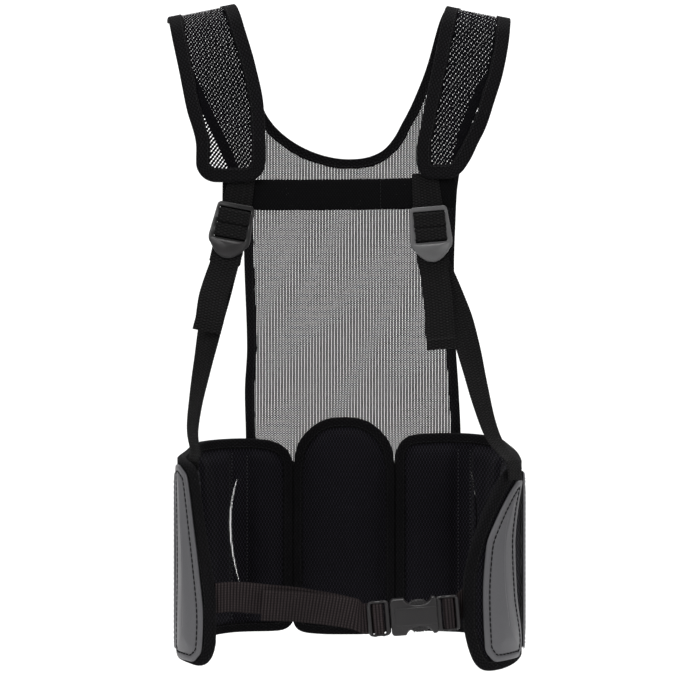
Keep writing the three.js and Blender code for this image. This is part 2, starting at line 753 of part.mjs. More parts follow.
function buildWing(side) {
  const wing = WINGS[side];
  const sign = side === 'left' ? -1 : 1;
  const surface = wingSurface(wing, sign);
  const columns = wingColumns(wing);
  const pad = wall(pattern([columns]), surface, PAD_OUT, foamDepth(wing));
  const cut = toManifold(pad).subtract(toManifold(slitCutter(wing.slit)));
  addPiece(`wing_pad_${side}`, fromManifold(cut), 'padding');
  addPiece(`wing_binding_${side}`, edgeTape(padEdge(columns), surface, {
    width: PAD_TAPE_WIDTH, outer: PAD_OUT, inner: PAD_RIM_IN, gap: CURVED_GAP, closed: true,
  }), 'tape');
  buildPlates(side, wing, surface, columns);
}

// Coated plates on the outside of a wing, inside its tape
function buildPlates(side, wing, surface, columns) {
  const length = pathLength(wing.plan);
  const lift = PAD_OUT + CURVED_GAP + TAPE_THICK + CURVED_GAP;
  const stations = columns.map((column) => column[0].a);
  const onStations = (from, to) => [from, ...stations.filter((at) => at > from + 2 && at < to - 2), to];
  const front = wing.plate.map((row) => PLATE_COLUMNS.map((share) => ({
    a: length - row.back + share * (row.back - row.front), b: row.up,
  })));
  addPiece(`front_plate_${side}`, wall(pattern([front]), surface, lift + PLATE_THICK, lift), 'coated');
  const end = length - Math.max(...wing.plate.map((row) => row.back)) - SIDE_PLATE.gap;
  const across = onStations(end - SIDE_PLATE.width, end);
  const inset = (at) => {
    const into = SIDE_PLATE.corner - Math.min(at - across[0], end - at, SIDE_PLATE.corner);
    return SIDE_PLATE.corner - Math.sqrt(SIDE_PLATE.corner ** 2 - into ** 2);
  };
  const sideGrid = across.map((a) => SIDE_PLATE_ROWS.map((share) => {
    const low = SIDE_PLATE.low + inset(a);
    const high = SIDE_PLATE.high - inset(a);
    return { a, b: low + share * (high - low) };
  }));
  addPiece(`side_plate_${side}`, wall(pattern([sideGrid]), surface, lift + PLATE_THICK, lift), 'coated');
}

function buildSpine() {
  const sides = [
    ...SPINE_COLUMNS.map((row) => ({ ...row, along: -row.out })),
    ...SPINE_COLUMNS.slice(0, -1).reverse().map((row) => ({ ...row, along: row.out })),
  ];
  const edge = SPINE_COLUMNS[0].out;
  const columns = sides.map((row) => {
    const nearEnd = row.out > edge - PAD_RIM + 1;
    const arch = 1 + (ARCH_RIM_GAIN * row.out) / edge;
    const rim = nearEnd ? (row.high - row.low) * END_RIM_SHARE : PAD_RIM * arch;
    return padColumn(row.along, row.low, row.high, nearEnd ? rim : PAD_RIM, rim);
  });
  const depth = (point) => -(point.foam && Math.abs(point.a) < edge - PAD_RIM - 2 ? PAD_FOAM_IN : PAD_RIM_IN);
  addPiece('spine_pad', wall(pattern([columns]), spineSurface, PAD_OUT, depth), 'padding');
  addPiece('spine_binding', edgeTape(padEdge(columns), spineSurface, {
    width: PAD_TAPE_WIDTH, outer: PAD_OUT, inner: PAD_RIM_IN, gap: CURVED_GAP, closed: true,
  }), 'tape');
}

// Levels of a ladder lock, from its top edge down
const LOCK_LEVELS = (() => {
  const slotTop = -LOCK.topBar;
  const tabBar = slotTop - LOCK.slot;
  const midSlot = tabBar - LOCK.tabBar;
  const webBar = midSlot - LOCK.midSlot;
  const lowSlot = webBar - LOCK.webBar;
  const tongue = lowSlot - LOCK.slot;
  return { slotTop, tabBar, midSlot, webBar, lowSlot, tongue, tip: tongue - LOCK.tongue };
})();

// Webbing lies this far from the middle of a lock, in front of it and behind it
const LOCK_LAYER = LOCK.thick / 2 + GAP + WEB_THICK / 2;

function lockShape() {
  const { slotTop, tabBar, midSlot, webBar, lowSlot, tongue, tip } = LOCK_LEVELS;
  const shape = new THREE.Shape();
  shape.moveTo(-LOCK.topHalf, 0);
  const [shoulder, roundLow, neck] = [tongue + LOCK.shoulder, tongue - LOCK.roundLow, tongue - LOCK.neck];
  shape.lineTo(-LOCK.midHalf, shoulder);
  shape.quadraticCurveTo(-LOCK.midHalf, roundLow, -LOCK.tongueHalf, neck);
  shape.quadraticCurveTo(-LOCK.tipHalf, tip, 0, tip);
  shape.quadraticCurveTo(LOCK.tipHalf, tip, LOCK.tongueHalf, neck);
  shape.quadraticCurveTo(LOCK.midHalf, roundLow, LOCK.midHalf, shoulder);
  shape.lineTo(LOCK.topHalf, 0);
  [[slotTop, tabBar], [midSlot, webBar], [lowSlot, tongue]].forEach(([high, low], index) => {
    const half = LOCK.window + index * LOCK.windowGrowth;
    shape.holes.push(new THREE.Path([
      new THREE.Vector2(-half, low), new THREE.Vector2(half, low),
      new THREE.Vector2(half, high), new THREE.Vector2(-half, high),
    ]));
  });
  return shape;
}

// Where webbing lies behind the lower end of a front strap, over its tape
function behindStrap(side) {
  const inside = STRAP_THICK / 2 + GAP + TAPE_THICK + GAP + WEB_THICK / 2;
  return strapSurface(LOCKS[side].x, STRAPS[side].bottom, -inside);
}

// Depth of a lock whose tab comes straight down from behind the strap
function lockDepth(side) {
  const lean = radians(FRONT_LEAN);
  const tab = behindStrap(side);
  return tab.y - (tab.z - LOCKS[side].z) * Math.tan(lean) - LOCK_LAYER / Math.cos(lean);
}

// A lock hangs from its tab, and the strap goes up behind it, over its lower bar and down as the tail
function buildAdjuster(side) {
  const lock = LOCKS[side];
  const wing = WINGS[side];
  const sign = side === 'left' ? -1 : 1;
  const group = new THREE.Group();
  group.position.set(lock.x, lockDepth(side), lock.z);
  group.rotation.set(radians(-FRONT_LEAN), radians(lock.tilt), 0);
  group.updateMatrixWorld();
  object.add(group);
  addPiece(`ladder_lock_${side}`, slab(lockShape(), LOCK.thick, 4), 'plastic', group);

  const { slotTop, midSlot, webBar, lowSlot, tip } = LOCK_LEVELS;
  const layer = LOCK_LAYER;
  const second = layer + WEB_THICK + GAP;
  const across = new THREE.Vector3(1, 0, 0).transformDirection(group.matrixWorld);
  const toWorld = (point, normal) => ({
    place: new THREE.Vector3(0, point.x, point.y).applyMatrix4(group.matrixWorld),
    across,
    face: new THREE.Vector3(0, normal.x, normal.y).transformDirection(group.matrixWorld),
  });
  const sideView = (points) => points.map(([depth, height]) => new THREE.Vector2(depth, height));

  const tabSlot = slotTop - LOCK.slot / 2;
  const tabExit = midSlot - BAR_CLEAR;
  const tabTop = behindStrap(side).z - lock.z + TAB_LAP;
  const tab = sideView([
    [layer, tabTop], [layer, tabSlot], [-layer, tabSlot], [-layer, tabExit], [layer, tabExit],
    [layer, tabSlot - LOCK.tabEnd],
  ]);
  addPiece(`strap_tab_${side}`, ribbon(bentStations(tab, WEB_BEND, toWorld), WEB_WIDTH, WEB_THICK), 'webbing');

  const webEntry = webBar + BAR_CLEAR;
  const webExit = lowSlot - LOCK.slot / 2;
  const loop = sideView([
    [second, tip - LOCK.mainBelow], [second, webEntry], [-layer, webEntry], [-layer, webExit], [layer, webExit],
    [layer, tip - LOCK.tailBelow],
  ]);
  const loopStations = bentStations(loop, WEB_BEND, toWorld);
  const tailStart = loopStations[loopStations.length - 1];
  const tail = tailStations(tailStart, lock);
  const main = mainStations(loopStations[0], wing, sign);
  const route = [...main, ...loopStations, ...tail];
  addPiece(`adjust_strap_${side}`, ribbon(route, WEB_WIDTH, WEB_THICK), 'webbing');
}

// The free tail hangs down in front and ends in a doubled hem
function tailStations(start, lock) {
  const share = (part, layers, drift = part) => ({
    place: start.place.clone().add(
      new THREE.Vector3(lock.tailDrift * drift, -TAIL_LEAN * lock.tail * part, -lock.tail * part),
    ),
    across: start.across,
    face: start.face,
    layers,
  });
  const hem = 1 - HEM / lock.tail;
  return [share(TAIL_BOW.part, 1, TAIL_BOW.drift), share(hem - HEM_STEP, 1), share(hem, 2), share(1, 2)];
}

// The strap runs down to the belt, turns with the wing and laps over its tape
function mainStations(start, wing, sign) {
  const surface = wingSurface(wing, sign);
  const along = pathLength(wing.plan) - wing.webBack;
  const high = between(wingOutline(wing), 'along', along, 'high');
  const lap = LAP[wing.lapFace];
  const tangent = surface(along - 1, 0, 0).sub(surface(along + 1, 0, 0)).normalize();
  if (tangent.x < 0) tangent.negate();
  const inward = surface(along, 0, 0).sub(surface(along, 0, 1));
  const end = (up, offset) => ({ place: surface(along, high + up, offset), across: tangent, face: inward });
  const lower = [end(-wing.lap, lap.at), end(LAP_TURN.edge, lap.at), end(LAP_TURN.free, lap.free)];
  const from = lower[lower.length - 1].place;
  const via = wing.webVia.map(({ x, z, slack }) => {
    const share = (z - from.z) / (start.place.z - from.z);
    return new THREE.Vector3(x, from.y + share * (start.place.y - from.y) + slack, z);
  });
  const curve = new THREE.CatmullRomCurve3([from, ...via, start.place]);
  const run = Array.from({ length: WEB_STEPS - 1 }, (_, step) => {
    const share = (step + 1) / WEB_STEPS;
    const twist = share ** wing.webTwist;
    const across = tangent.clone().lerp(start.across, twist).normalize();
    const face = inward.clone().lerp(start.face, twist);
    face.addScaledVector(across, -face.dot(across)).normalize();
    return { place: curve.getPointAt(share), across, face };
  });
  return [...lower, ...run];
}

function buildChest() {
  const lean = radians(FRONT_LEAN);
  const depth = LOCK_LAYER + WEB_THICK + GAP;
  const middle = CHEST.top - (ELASTIC_WIDTH / 2) * Math.cos(lean);
  const across = new THREE.Vector3(0, -Math.sin(lean), -Math.cos(lean));
  const face = new THREE.Vector3(0, Math.cos(lean), -Math.sin(lean));
  const place = (x, side) => {
    const rise = middle - LOCKS[side].z;
    return new THREE.Vector3(x, lockDepth(side) + rise * Math.tan(lean) + depth / Math.cos(lean), middle);
  };
  const stations = [place(CHEST.left, 'left'), place(CHEST.right, 'right')].map((spot) => ({
    place: spot, across, face,
  }));
  addPiece('chest_strap', ribbon(stations, ELASTIC_WIDTH, WEB_THICK), 'webbing');
}

// Frame with two slots and a bar between them, for the strap at one end of the buckle
function strapFrame(outerEnd, innerEnd) {
  const direction = Math.sign(innerEnd - outerEnd);
  const [low, high] = [Math.min(outerEnd, innerEnd), Math.max(outerEnd, innerEnd)];
  const half = BUCKLE.height / 2 - BUCKLE.frameInset;
  const shape = roundedOutline(low, high, -half, half, BUCKLE.frameCorner);
  const slots = [];
  let at = outerEnd + direction * BUCKLE.bar;
  for (let slot = 0; slot < 2; slot += 1) {
    const to = at + direction * BUCKLE.slot;
    slots.push([Math.min(at, to), Math.max(at, to)]);
    at = to + direction * BUCKLE.bar;
  }
  slots.forEach(([from, to], index) => {
    const opening = WEB_WIDTH / 2 + GAP + index * BUCKLE.slotGrowth;
    shape.holes.push(new THREE.Path([
      new THREE.Vector2(from, -opening), new THREE.Vector2(to, -opening),
      new THREE.Vector2(to, opening), new THREE.Vector2(from, opening),
    ]));
  });
  return { geometry: slab(shape, BUCKLE.frameThick), slots };
}

function ellipse(x, z, radiusX, radiusZ, thick) {
  const shape = new THREE.Shape();
  shape.absellipse(x, z, radiusX, radiusZ, 0, 2 * Math.PI);
  return slab(shape, thick, 16);
}

function buildBuckle() {
  const group = new THREE.Group();
  group.position.set(BUCKLE.x, BUCKLE.y, BUCKLE.z);
  group.rotation.set(0, radians(BUCKLE.tilt), 0);
  group.updateMatrixWorld();
  object.add(group);
  const bodyLow = -BUCKLE.half + BUCKLE.frame;
  const bodyHigh = BUCKLE.half - BUCKLE.frame + 1;
  const halfHeight = BUCKLE.height / 2;
  const scoopX = bodyLow + BUCKLE.scoopAt;
  const prongFrame = strapFrame(-BUCKLE.half, bodyLow - GAP);
  const socketFrame = strapFrame(BUCKLE.half, bodyHigh - BUCKLE.frameLap);
  const cavityHigh = bodyLow + BUCKLE.cavityDepth;
  const halfCavity = BUCKLE.cavityHeight / 2;
  const mouth = bodyLow - BUCKLE.root;

  const outline = roundedOutline(bodyLow, bodyHigh, -halfHeight, halfHeight, BUCKLE.bodyCorner);
  let socket = toManifold(slab(outline, BUCKLE.bodyThick)).add(toManifold(socketFrame.geometry));
  socket = socket.subtract(toManifold(box(mouth, cavityHigh, -halfCavity, halfCavity, BUCKLE.cavityThick)));
  for (const end of [-1, 1]) {
    const scoopZ = end * (halfHeight + BUCKLE.scoopOut);
    socket = socket.subtract(toManifold(
      ellipse(scoopX, scoopZ, BUCKLE.scoopX, BUCKLE.scoopZ, BUCKLE.bodyThick + BUCKLE.scoopOut),
    ));
  }
  addPiece('buckle_socket', fromManifold(socket), 'plastic', group);

  const armThick = BUCKLE.cavityThick - 2 * GAP;
  const armHigh = halfCavity - GAP;
  const armEnd = cavityHigh - BUCKLE.armShort;
  let prong = toManifold(prongFrame.geometry);
  prong = prong.add(toManifold(box(mouth, bodyLow + BUCKLE.root, -armHigh, armHigh, armThick)));
  for (const end of [-1, 1]) {
    const [low, high] = end > 0 ? [armHigh - BUCKLE.arm, armHigh] : [-armHigh, -armHigh + BUCKLE.arm];
    prong = prong.add(toManifold(box(bodyLow, armEnd, low, high, armThick)));
    prong = prong.add(toManifold(
      ellipse(scoopX, end * (armHigh - BUCKLE.buttonIn), BUCKLE.buttonX, BUCKLE.buttonZ, armThick),
    ));
  }
  const guideEnd = bodyLow + BUCKLE.guideLength;
  prong = prong.add(toManifold(box(bodyLow, guideEnd, -BUCKLE.guideHalf, BUCKLE.guideHalf, armThick)));
  addPiece('buckle_prong', fromManifold(prong), 'plastic', group);
  buildWaistStraps(group, prongFrame.slots, socketFrame.slots);
}

// Webbing looped round a bar of the buckle: in behind, round the inner bar and back in front of itself
function barLoop(group, slots, direction, reach) {
  const layer = BUCKLE.frameThick / 2 + GAP + WEB_THICK / 2;
  const second = layer + WEB_THICK + GAP;
  const [outerSlot, innerSlot] = slots.map(([from, to]) => (from + to) / 2);
  const points = [
    [outerSlot - direction * reach.main, second], [innerSlot, second], [innerSlot, -layer],
    [outerSlot, -layer], [outerSlot, layer], [outerSlot - direction * reach.tail, layer],
  ].map(([along, depth]) => new THREE.Vector2(along, depth));
  const across = new THREE.Vector3(0, 0, 1).transformDirection(group.matrixWorld);
  const toWorld = (point, normal) => ({
    place: new THREE.Vector3(point.x, point.y, 0).applyMatrix4(group.matrixWorld),
    across,
    face: new THREE.Vector3(normal.x, normal.y, 0).transformDirection(group.matrixWorld),
  });
  return bentStations(points, WEB_BEND, toWorld);
}

// The strap's end lies on the inside of a wing, behind its front edge
function wingAnchor(side, reachBack) {
  const wing = WINGS[side];
  const surface = wingSurface(wing, side === 'left' ? -1 : 1);
  const along = pathLength(wing.plan) - reachBack;
  const inside = -(PAD_RIM_IN + CURVED_GAP + TAPE_THICK + GAP + WEB_THICK / 2);
  const face = surface(along, 0, 0).sub(surface(along, 0, 1)).normalize();
  return { place: surface(along, WAIST_STRAP_UP, inside), across: new THREE.Vector3(0, 0, 1), face };
}

function buildWaistStraps(group, prongSlots, socketSlots) {
  const left = barLoop(group, prongSlots, 1, WAIST_REACH.left);
  const leftFaces = WAIST_ANCHORS.left.map((back) => wingAnchor('left', back));
  const edge = leftFaces[leftFaces.length - 1].place;
  const main = waistRun(edge.x + WAIST_CLEAR_OF_WING, edge.y, left[0].place);
  const end = left[left.length - 1].place;
  const tail = waistRun(WAIST_TAIL_END, end.y - WEB_THICK, end).reverse();
  const route = joinFaces([...leftFaces, ...main, ...left, ...tail]);
  addPiece('waist_strap_left', ribbon(route, WEB_WIDTH, WEB_THICK), 'webbing');
  const right = barLoop(group, socketSlots, -1, WAIST_REACH.right);
  const rightFaces = WAIST_ANCHORS.right.map((back) => wingAnchor('right', back));
  addPiece('waist_strap_right', ribbon(joinFaces([...rightFaces, ...right]), WEB_WIDTH, WEB_THICK), 'webbing');
}

// Stations along the sagging line of the waist strap, from a start to the loop at the buckle
function waistRun(startX, startY, loop) {
  const inner = WAIST_LINE.filter((row) => row.x > startX + WAIST_ROW_CLEAR).map((row) => row.x);
  return [startX, ...inner].map((x) => {
    const share = (x - startX) / (loop.x - startX);
    const height = (at) => between(WAIST_LINE, 'x', at, 'z');
    const reach = WAIST_SLOPE_REACH;
    const slope = (height(x + reach) - height(x - reach)) / (2 * reach);
    return {
      place: new THREE.Vector3(x, startY + share * (loop.y - startY), height(x)),
      across: new THREE.Vector3(-slope, 0, 1).normalize(),
    };
  });
}

// Keep the face of each station on the same side of the webbing as the one before it
function joinFaces(stations) {
  const joined = [];
  stations.forEach((station, index) => {
    const next = stations[index + 1] ?? station;
    const before = joined[index - 1] ?? station;
    const along = next.place.clone().sub(before.place).normalize();
    const face = new THREE.Vector3().crossVectors(station.across, along).normalize();
    joined.push({ ...station, face });
  });
  return joined;
}

buildBack();
for (const side of ['left', 'right']) {
  buildStrap(side);
  buildWing(side);
  buildAdjuster(side);
}
buildSpine();
buildChest();
buildBuckle();

export default object;
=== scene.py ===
import math

import bmesh
import bpy
import numpy as np
from mathutils import Matrix, Vector
from mathutils.geometry import tessellate_polygon


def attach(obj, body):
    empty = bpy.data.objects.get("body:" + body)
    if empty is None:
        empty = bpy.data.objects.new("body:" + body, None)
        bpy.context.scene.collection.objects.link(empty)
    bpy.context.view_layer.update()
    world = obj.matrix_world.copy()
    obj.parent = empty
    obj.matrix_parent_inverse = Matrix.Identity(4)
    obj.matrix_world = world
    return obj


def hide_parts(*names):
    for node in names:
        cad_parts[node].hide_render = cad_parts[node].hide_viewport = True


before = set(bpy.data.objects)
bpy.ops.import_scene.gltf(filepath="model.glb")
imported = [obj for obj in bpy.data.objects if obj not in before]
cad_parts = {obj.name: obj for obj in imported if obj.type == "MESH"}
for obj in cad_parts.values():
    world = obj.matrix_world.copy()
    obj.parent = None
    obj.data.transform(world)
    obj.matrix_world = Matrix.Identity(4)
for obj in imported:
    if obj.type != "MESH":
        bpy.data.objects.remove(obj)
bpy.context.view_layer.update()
BODY = "root"
SIDES = {"left": -1, "right": 1}

# Camera and photograph
PHOTO_SIDE = 700
FOCAL_PIXELS = 1902
SENSOR = 36.0
CAMERA_PLACE = (0.0009, -1.710, -0.3025)

# Cloth and webbing sizes, in metres
NET_THICK = 0.0016
TAPE_THICK = 0.0008
TAPE_GAP = 0.0002
TAPE_WIDTH = 0.0078
STRAP_TAPE_WIDTH = 0.0110
PAD_TAPE_WIDTH = 0.0075
WEB_WIDTH = 0.025
WEB_THICK = 0.0016
CAD_GAP = 0.00035
CURVED_GAP = 0.00055
STRAP_THICK = 0.003
CAD_TAPE_THICK = 0.0008
ELASTIC_WIDTH = 0.0275

# Belt and padding
BELT_BOTTOM = -0.564
WAIST_STRAP_UP = 0.057
PAD_OUT = 0.002
PAD_RIM_IN = 0.003
PAD_FOAM_IN = 0.0095
PAD_RAMP = 0.006
BACK_DEPTH = 0.042
PAD_DEPTH = BACK_DEPTH - NET_THICK / 2 - CAD_GAP - PAD_OUT - CURVED_GAP - CAD_TAPE_THICK

# Shoulder folds: arcs as a length and a turn in degrees, going down from the ridge
REAR_FOLD = [(0.066, 90)]
FRONT_FOLD = [(0.0377, 72), (0.142, 9)]
FRONT_LEAN = math.radians(9)
RIDGE_FADE = 0.110
RIDGE = {"left": {"neck": 0.105, "rise": 0.0056, "slope": 0.21},
         "right": {"neck": 0.0895, "rise": 0.0038, "slope": 0.21}}

# Back panel: down the edge, left and right edge, then down the neckline, its left and right
BACK_COLUMNS = ("edge_down", "left", "right", "neck_down", "neck_left", "neck_right")
BACK_ROWS = [
    (0.000, -0.1625, 0.1443, 0.0000, -0.1050, 0.0895),
    (0.066, -0.1527, 0.1360, 0.0660, -0.0910, 0.0735),
    (0.092, -0.1410, 0.1225, 0.0970, -0.0835, 0.0610),
    (0.110, -0.1330, 0.1150, 0.1178, -0.0720, 0.0500),
    (0.126, -0.1255, 0.1095, 0.1322, -0.0570, 0.0420),
    (0.140, -0.1190, 0.1055, 0.1433, -0.0380, 0.0320),
    (0.152, -0.1135, 0.1030, 0.1498, -0.0180, 0.0180),
    (0.163, -0.1080, 0.1008, 0.1518, 0.0000, 0.0000),
    (0.182, -0.1000, 0.0983, 0.1760, 0.0000, 0.0000),
    (0.205, -0.0965, 0.0972, 0.2030, 0.0000, 0.0000),
    (0.250, -0.0954, 0.0958, 0.2500, 0.0000, 0.0000),
    (0.325, -0.0930, 0.0975, 0.3250, 0.0000, 0.0000),
    (0.365, -0.0950, 0.1000, 0.3650, 0.0000, 0.0000),
    (0.410, -0.0940, 0.1018, 0.4100, 0.0000, 0.0000),
    (0.576, -0.0940, 0.1018, 0.5760, 0.0000, 0.0000),
]
NECK_BOTTOM = 0.1518

# Front straps: down from the ridge, outer and inner edge
STRAPS = {
    "left": {
        "rows": [(0.000, -0.1625, -0.1050), (0.038, -0.1558, -0.0940), (0.075, -0.1482, -0.0830),
                 (0.110, -0.1412, -0.0755), (0.148, -0.1318, -0.0735)],
        "bottom": 0.177, "corner_outer": 0.017, "corner_inner": 0.017,
    },
    "right": {
        "rows": [(0.000, 0.1443, 0.0895), (0.038, 0.1408, 0.0820), (0.075, 0.1345, 0.0745),
                 (0.105, 0.1260, 0.0680), (0.128, 0.1185, 0.0635), (0.148, 0.1090, 0.0600),
                 (0.165, 0.1030, 0.0600)],
        "bottom": 0.174, "corner_outer": 0.020, "corner_inner": 0.0125,
    },
}

# Belt wings: plan as arcs, outline as (along, low, high) and (back from the front, low, high)
WINGS = {
    "left": {
        "start": 0.053,
        "plan": [(0.0375, 8), (0.071, 74), (0.080, 8), (0.067, 57.5)],
        "rear": [(0.000, 0.0120, 0.1590), (0.0045, 0.0075, 0.1680), (0.011, 0.0055, 0.1735),
                 (0.023, 0.005, 0.1775), (0.047, 0.005, 0.179), (0.095, 0.0035, 0.1775)],
        "front": [(0.000, 0.020, 0.056), (0.003, 0.0105, 0.075), (0.011, 0.003, 0.109),
                  (0.017, 0.002, 0.136), (0.025, 0.0025, 0.163), (0.038, 0.003, 0.1675),
                  (0.055, 0.003, 0.1695), (0.110, 0.003, 0.172)],
        "foam": [(0.011, 0.040), (0.058, 0.117), (0.129, 0.219)],
        "slit": [(-0.1026, 0.143), (-0.1084, 0.103), (-0.1005, 0.049)],
        "plate": [(0.004, 0.017, 0.044), (0.014, 0.008, 0.051), (0.040, 0.0065, 0.050),
                  (0.080, 0.011, 0.048), (0.115, 0.017, 0.049), (0.145, 0.023, 0.051),
                  (0.158, 0.027, 0.052), (0.1655, 0.040, 0.051)],
        "web_back": 0.038, "lap": 0.006, "lap_face": "inside", "twist": 1.4,
        "web_via": [(-0.132, -0.370, 0.006), (-0.1215, -0.294, 0.012)],
    },
    "right": {
        "start": 0.0442,
        "plan": [(0.0478, 8), (0.071, 74), (0.076, 8), (0.0875, 72)],
        "rear": [(0.000, 0.0120, 0.167), (0.0045, 0.0075, 0.176), (0.011, 0.006, 0.181),
                 (0.023, 0.0055, 0.183), (0.050, 0.005, 0.184), (0.095, 0.0045, 0.182),
                 (0.120, 0.005, 0.1775)],
        "front": [(0.000, 0.034, 0.076), (0.004, 0.018, 0.092), (0.011, 0.004, 0.112),
                  (0.018, -0.0005, 0.127), (0.026, -0.0012, 0.1395), (0.034, -0.001, 0.150),
                  (0.050, 0.0005, 0.1615), (0.078, 0.004, 0.1665), (0.112, 0.0055, 0.172)],
        "foam": [(0.011, 0.056), (0.071, 0.128), (0.140, 0.244)],
        "slit": [(0.1115, 0.150), (0.115, 0.108), (0.109, 0.056)],
        "plate": [(0.005, 0.024, 0.058), (0.016, 0.015, 0.064), (0.060, 0.013, 0.053),
                  (0.100, 0.016, 0.050), (0.124, 0.027, 0.054), (0.143, 0.042, 0.062),
                  (0.152, 0.054, 0.068)],
        "web_back": 0.050, "lap": 0.008, "lap_face": "outside", "twist": 1.2,
        "web_via": [(0.1217, -0.377, 0.004), (0.095, -0.275, 0.011)],
    },
}
SLIT_WIDTH = {"left": 0.0021, "right": 0.0012}
SIDE_PLATE = {"gap": 0.006, "width": 0.062, "low": 0.008, "high": 0.158, "corner": 0.010}

# Spine pad: out from its middle, low and high
SPINE_MIDDLE = -0.0045
SPINE_ROWS = [(0.000, 0.0020, 0.1985), (0.012, 0.0020, 0.1975), (0.024, 0.0025, 0.193),
              (0.0344, 0.0035, 0.184), (0.042, 0.006, 0.172), (0.0454, 0.012, 0.152)]

# Ladder locks and their webbing
LOCK = {
    "thick": 0.0032, "top_bar": 0.0042, "slot": 0.003, "tab_bar": 0.0085, "mid_slot": 0.0058,
    "web_bar": 0.007, "tongue": 0.0175, "top_half": 0.016, "mid_half": 0.0183, "window": 0.0136,
    "tongue_half": 0.0155, "tab_end": 0.005, "main_below": -0.006, "tail_below": 0.003,
}
LOCKS = {
    "left": {"x": -0.0972, "z": -0.176, "tilt": math.radians(11), "tail": 0.060, "drift": -0.0145},
    "right": {"x": 0.0685, "z": -0.1785, "tilt": math.radians(-5), "tail": 0.072, "drift": 0.006},
}
TAB_LAP = 0.006
HEM = 0.009
TAIL_BOW = (0.5, 0.65)
TAIL_LEAN = 0.28
WEB_BEND = 0.0018
BAR_CLEAR = WEB_THICK / 2 + 0.0012
LAP_EDGE = 0.0015
LAP_FREE = 0.008
LAP_CURVE = 0.0014
LAP = {
    "outside": (PAD_OUT + CURVED_GAP + CAD_TAPE_THICK + CAD_GAP + WEB_THICK / 2, 0.002),
    "inside": (-(PAD_RIM_IN + CURVED_GAP + CAD_TAPE_THICK + LAP_CURVE + CAD_GAP + WEB_THICK / 2), -0.009),
}
CHEST_SEAM = 0.0275
CHEST = {"left": -0.110, "right": 0.092, "top": -0.1532, "rise": {"left": -0.0008, "right": 0.0010}}

# Cross ribs of the webbing: pitch, share of the thickness, and step of the mesh
RIB = {"pitch": 0.0026, "depth": 0.40, "step": 0.00046}

# Side-release buckle and the waist strap
BUCKLE = {
    "place": (0.0529, -0.155, -0.5198), "tilt": math.radians(-4.6), "half": 0.0378, "height": 0.030,
    "frame": 0.019, "body_thick": 0.010, "frame_thick": 0.0044, "bar": 0.0036, "slot": 0.0036,
    "overlap": 0.001,
}
WAIST_LINE = [(-0.125, -0.5055), (-0.092, -0.506), (-0.071, -0.5075), (-0.040, -0.5105),
              (-0.008, -0.516), (0.008, -0.5195)]
WAIST_TAIL_END = -0.071
WAIST_HEM = 1.8
WAIST_TAIL_DROP = 0.0040
WAIST_ANCHORS = {"left": (0.022, 0.012, 0.001), "right": (0.026, 0.014, 0.003)}
WAIST_REACH = {"left": (0.008, 0.008), "right": (0.002, 0.004)}


def smooth_line(xs, ys):
    """Smooth line through the rows of a table that never overshoots a row."""
    xs = np.asarray(xs, float)
    ys = np.asarray(ys, float)
    steps = np.diff(xs)
    slopes = np.diff(ys) / steps
    before = np.concatenate([slopes[:1], slopes])
    after = np.concatenate([slopes, slopes[-1:]])
    same = before * after > 0
    total = np.where(same, before + after, 1)
    tangents = np.where(same, 2 * before * after / total, 0)

    def at(value):
        value = np.clip(np.asarray(value, float), xs[0], xs[-1])
        row = np.clip(np.searchsorted(xs, value) - 1, 0, len(steps) - 1)
        t = (value - xs[row]) / steps[row]
        rise = t * (1 - t) ** 2 * tangents[row] + t * t * (t - 1) * tangents[row + 1]
        return (1 + 2 * t) * (1 - t) ** 2 * ys[row] + t * t * (3 - 2 * t) * ys[row + 1] + rise * steps[row]
    return at


def distances(points):
    """Distance of each point along a line of points."""
    return np.concatenate([[0], np.cumsum(np.linalg.norm(np.diff(points, axis=0), axis=1))])


def unit(vectors):
    return vectors / np.linalg.norm(vectors, axis=-1, keepdims=True)


def headings(points):
    """The way that a line of points goes at each of them."""
    return np.concatenate([points[1:2] - points[:1], points[2:] - points[:-2], points[-1:] - points[-2:-1]])


def smooth_step(value, low, high):
    share = np.clip((value - low) / (high - low), 0, 1)
    return share * share * (3 - 2 * share)


def arc_path(arcs):
    """Place and heading at a distance along arcs that start level and turn to the right."""
    def at(distance):
        distance = np.asarray(distance, float)
        ahead = np.minimum(distance, 0)
        aside = np.zeros_like(distance)
        heading = np.zeros_like(distance)
        left = np.maximum(distance, 0)
        for length, turn in arcs:
            step = np.minimum(left, length)
            bend = math.radians(turn) * step / length
            chord = step * np.sinc(bend / (2 * np.pi))
            ahead = ahead + chord * np.cos(heading + bend / 2)
            aside = aside + chord * np.sin(heading + bend / 2)
            heading = heading + bend
            left = left - step
        return ahead + left * np.cos(heading), aside + left * np.sin(heading), heading
    return at


def path_length(arcs):
    return sum(length for length, turn in arcs)


def fold_surface(arcs, way):
    """Cloth over the shoulder: across is X, down is along the cloth from the ridge."""
    profile = arc_path(arcs)

    def at(across, down, offset):
        across, down, offset = np.broadcast_arrays(across, down, offset)
        ahead, aside, heading = profile(np.maximum(down, 0))
        left = across < 0
        pick = {key: np.where(left, RIDGE["left"][key], RIDGE["right"][key]) for key in RIDGE["left"]}
        fade = np.maximum(0, 1 - np.maximum(down, 0) / RIDGE_FADE)
        rise = pick["rise"] - pick["slope"] * (np.abs(across) - pick["neck"])
        depth = way * (ahead + offset * np.sin(heading))
        return np.stack([across, depth, -aside + offset * np.cos(heading) + rise * fade], -1)
    return at


def wing_surface(side):
    """Belt wing: along its plan from the rear edge, up from the belt's lower edge."""
    wing = WINGS[side]
    plan = arc_path(wing["plan"])

    def at(along, up, offset):
        along, up, offset = np.broadcast_arrays(along, up, offset)
        ahead, aside, heading = plan(along)
        x = SIDES[side] * (wing["start"] + ahead + offset * np.sin(heading))
        return np.stack([x, PAD_DEPTH - aside + offset * np.cos(heading), BELT_BOTTOM + up], -1)
    return at


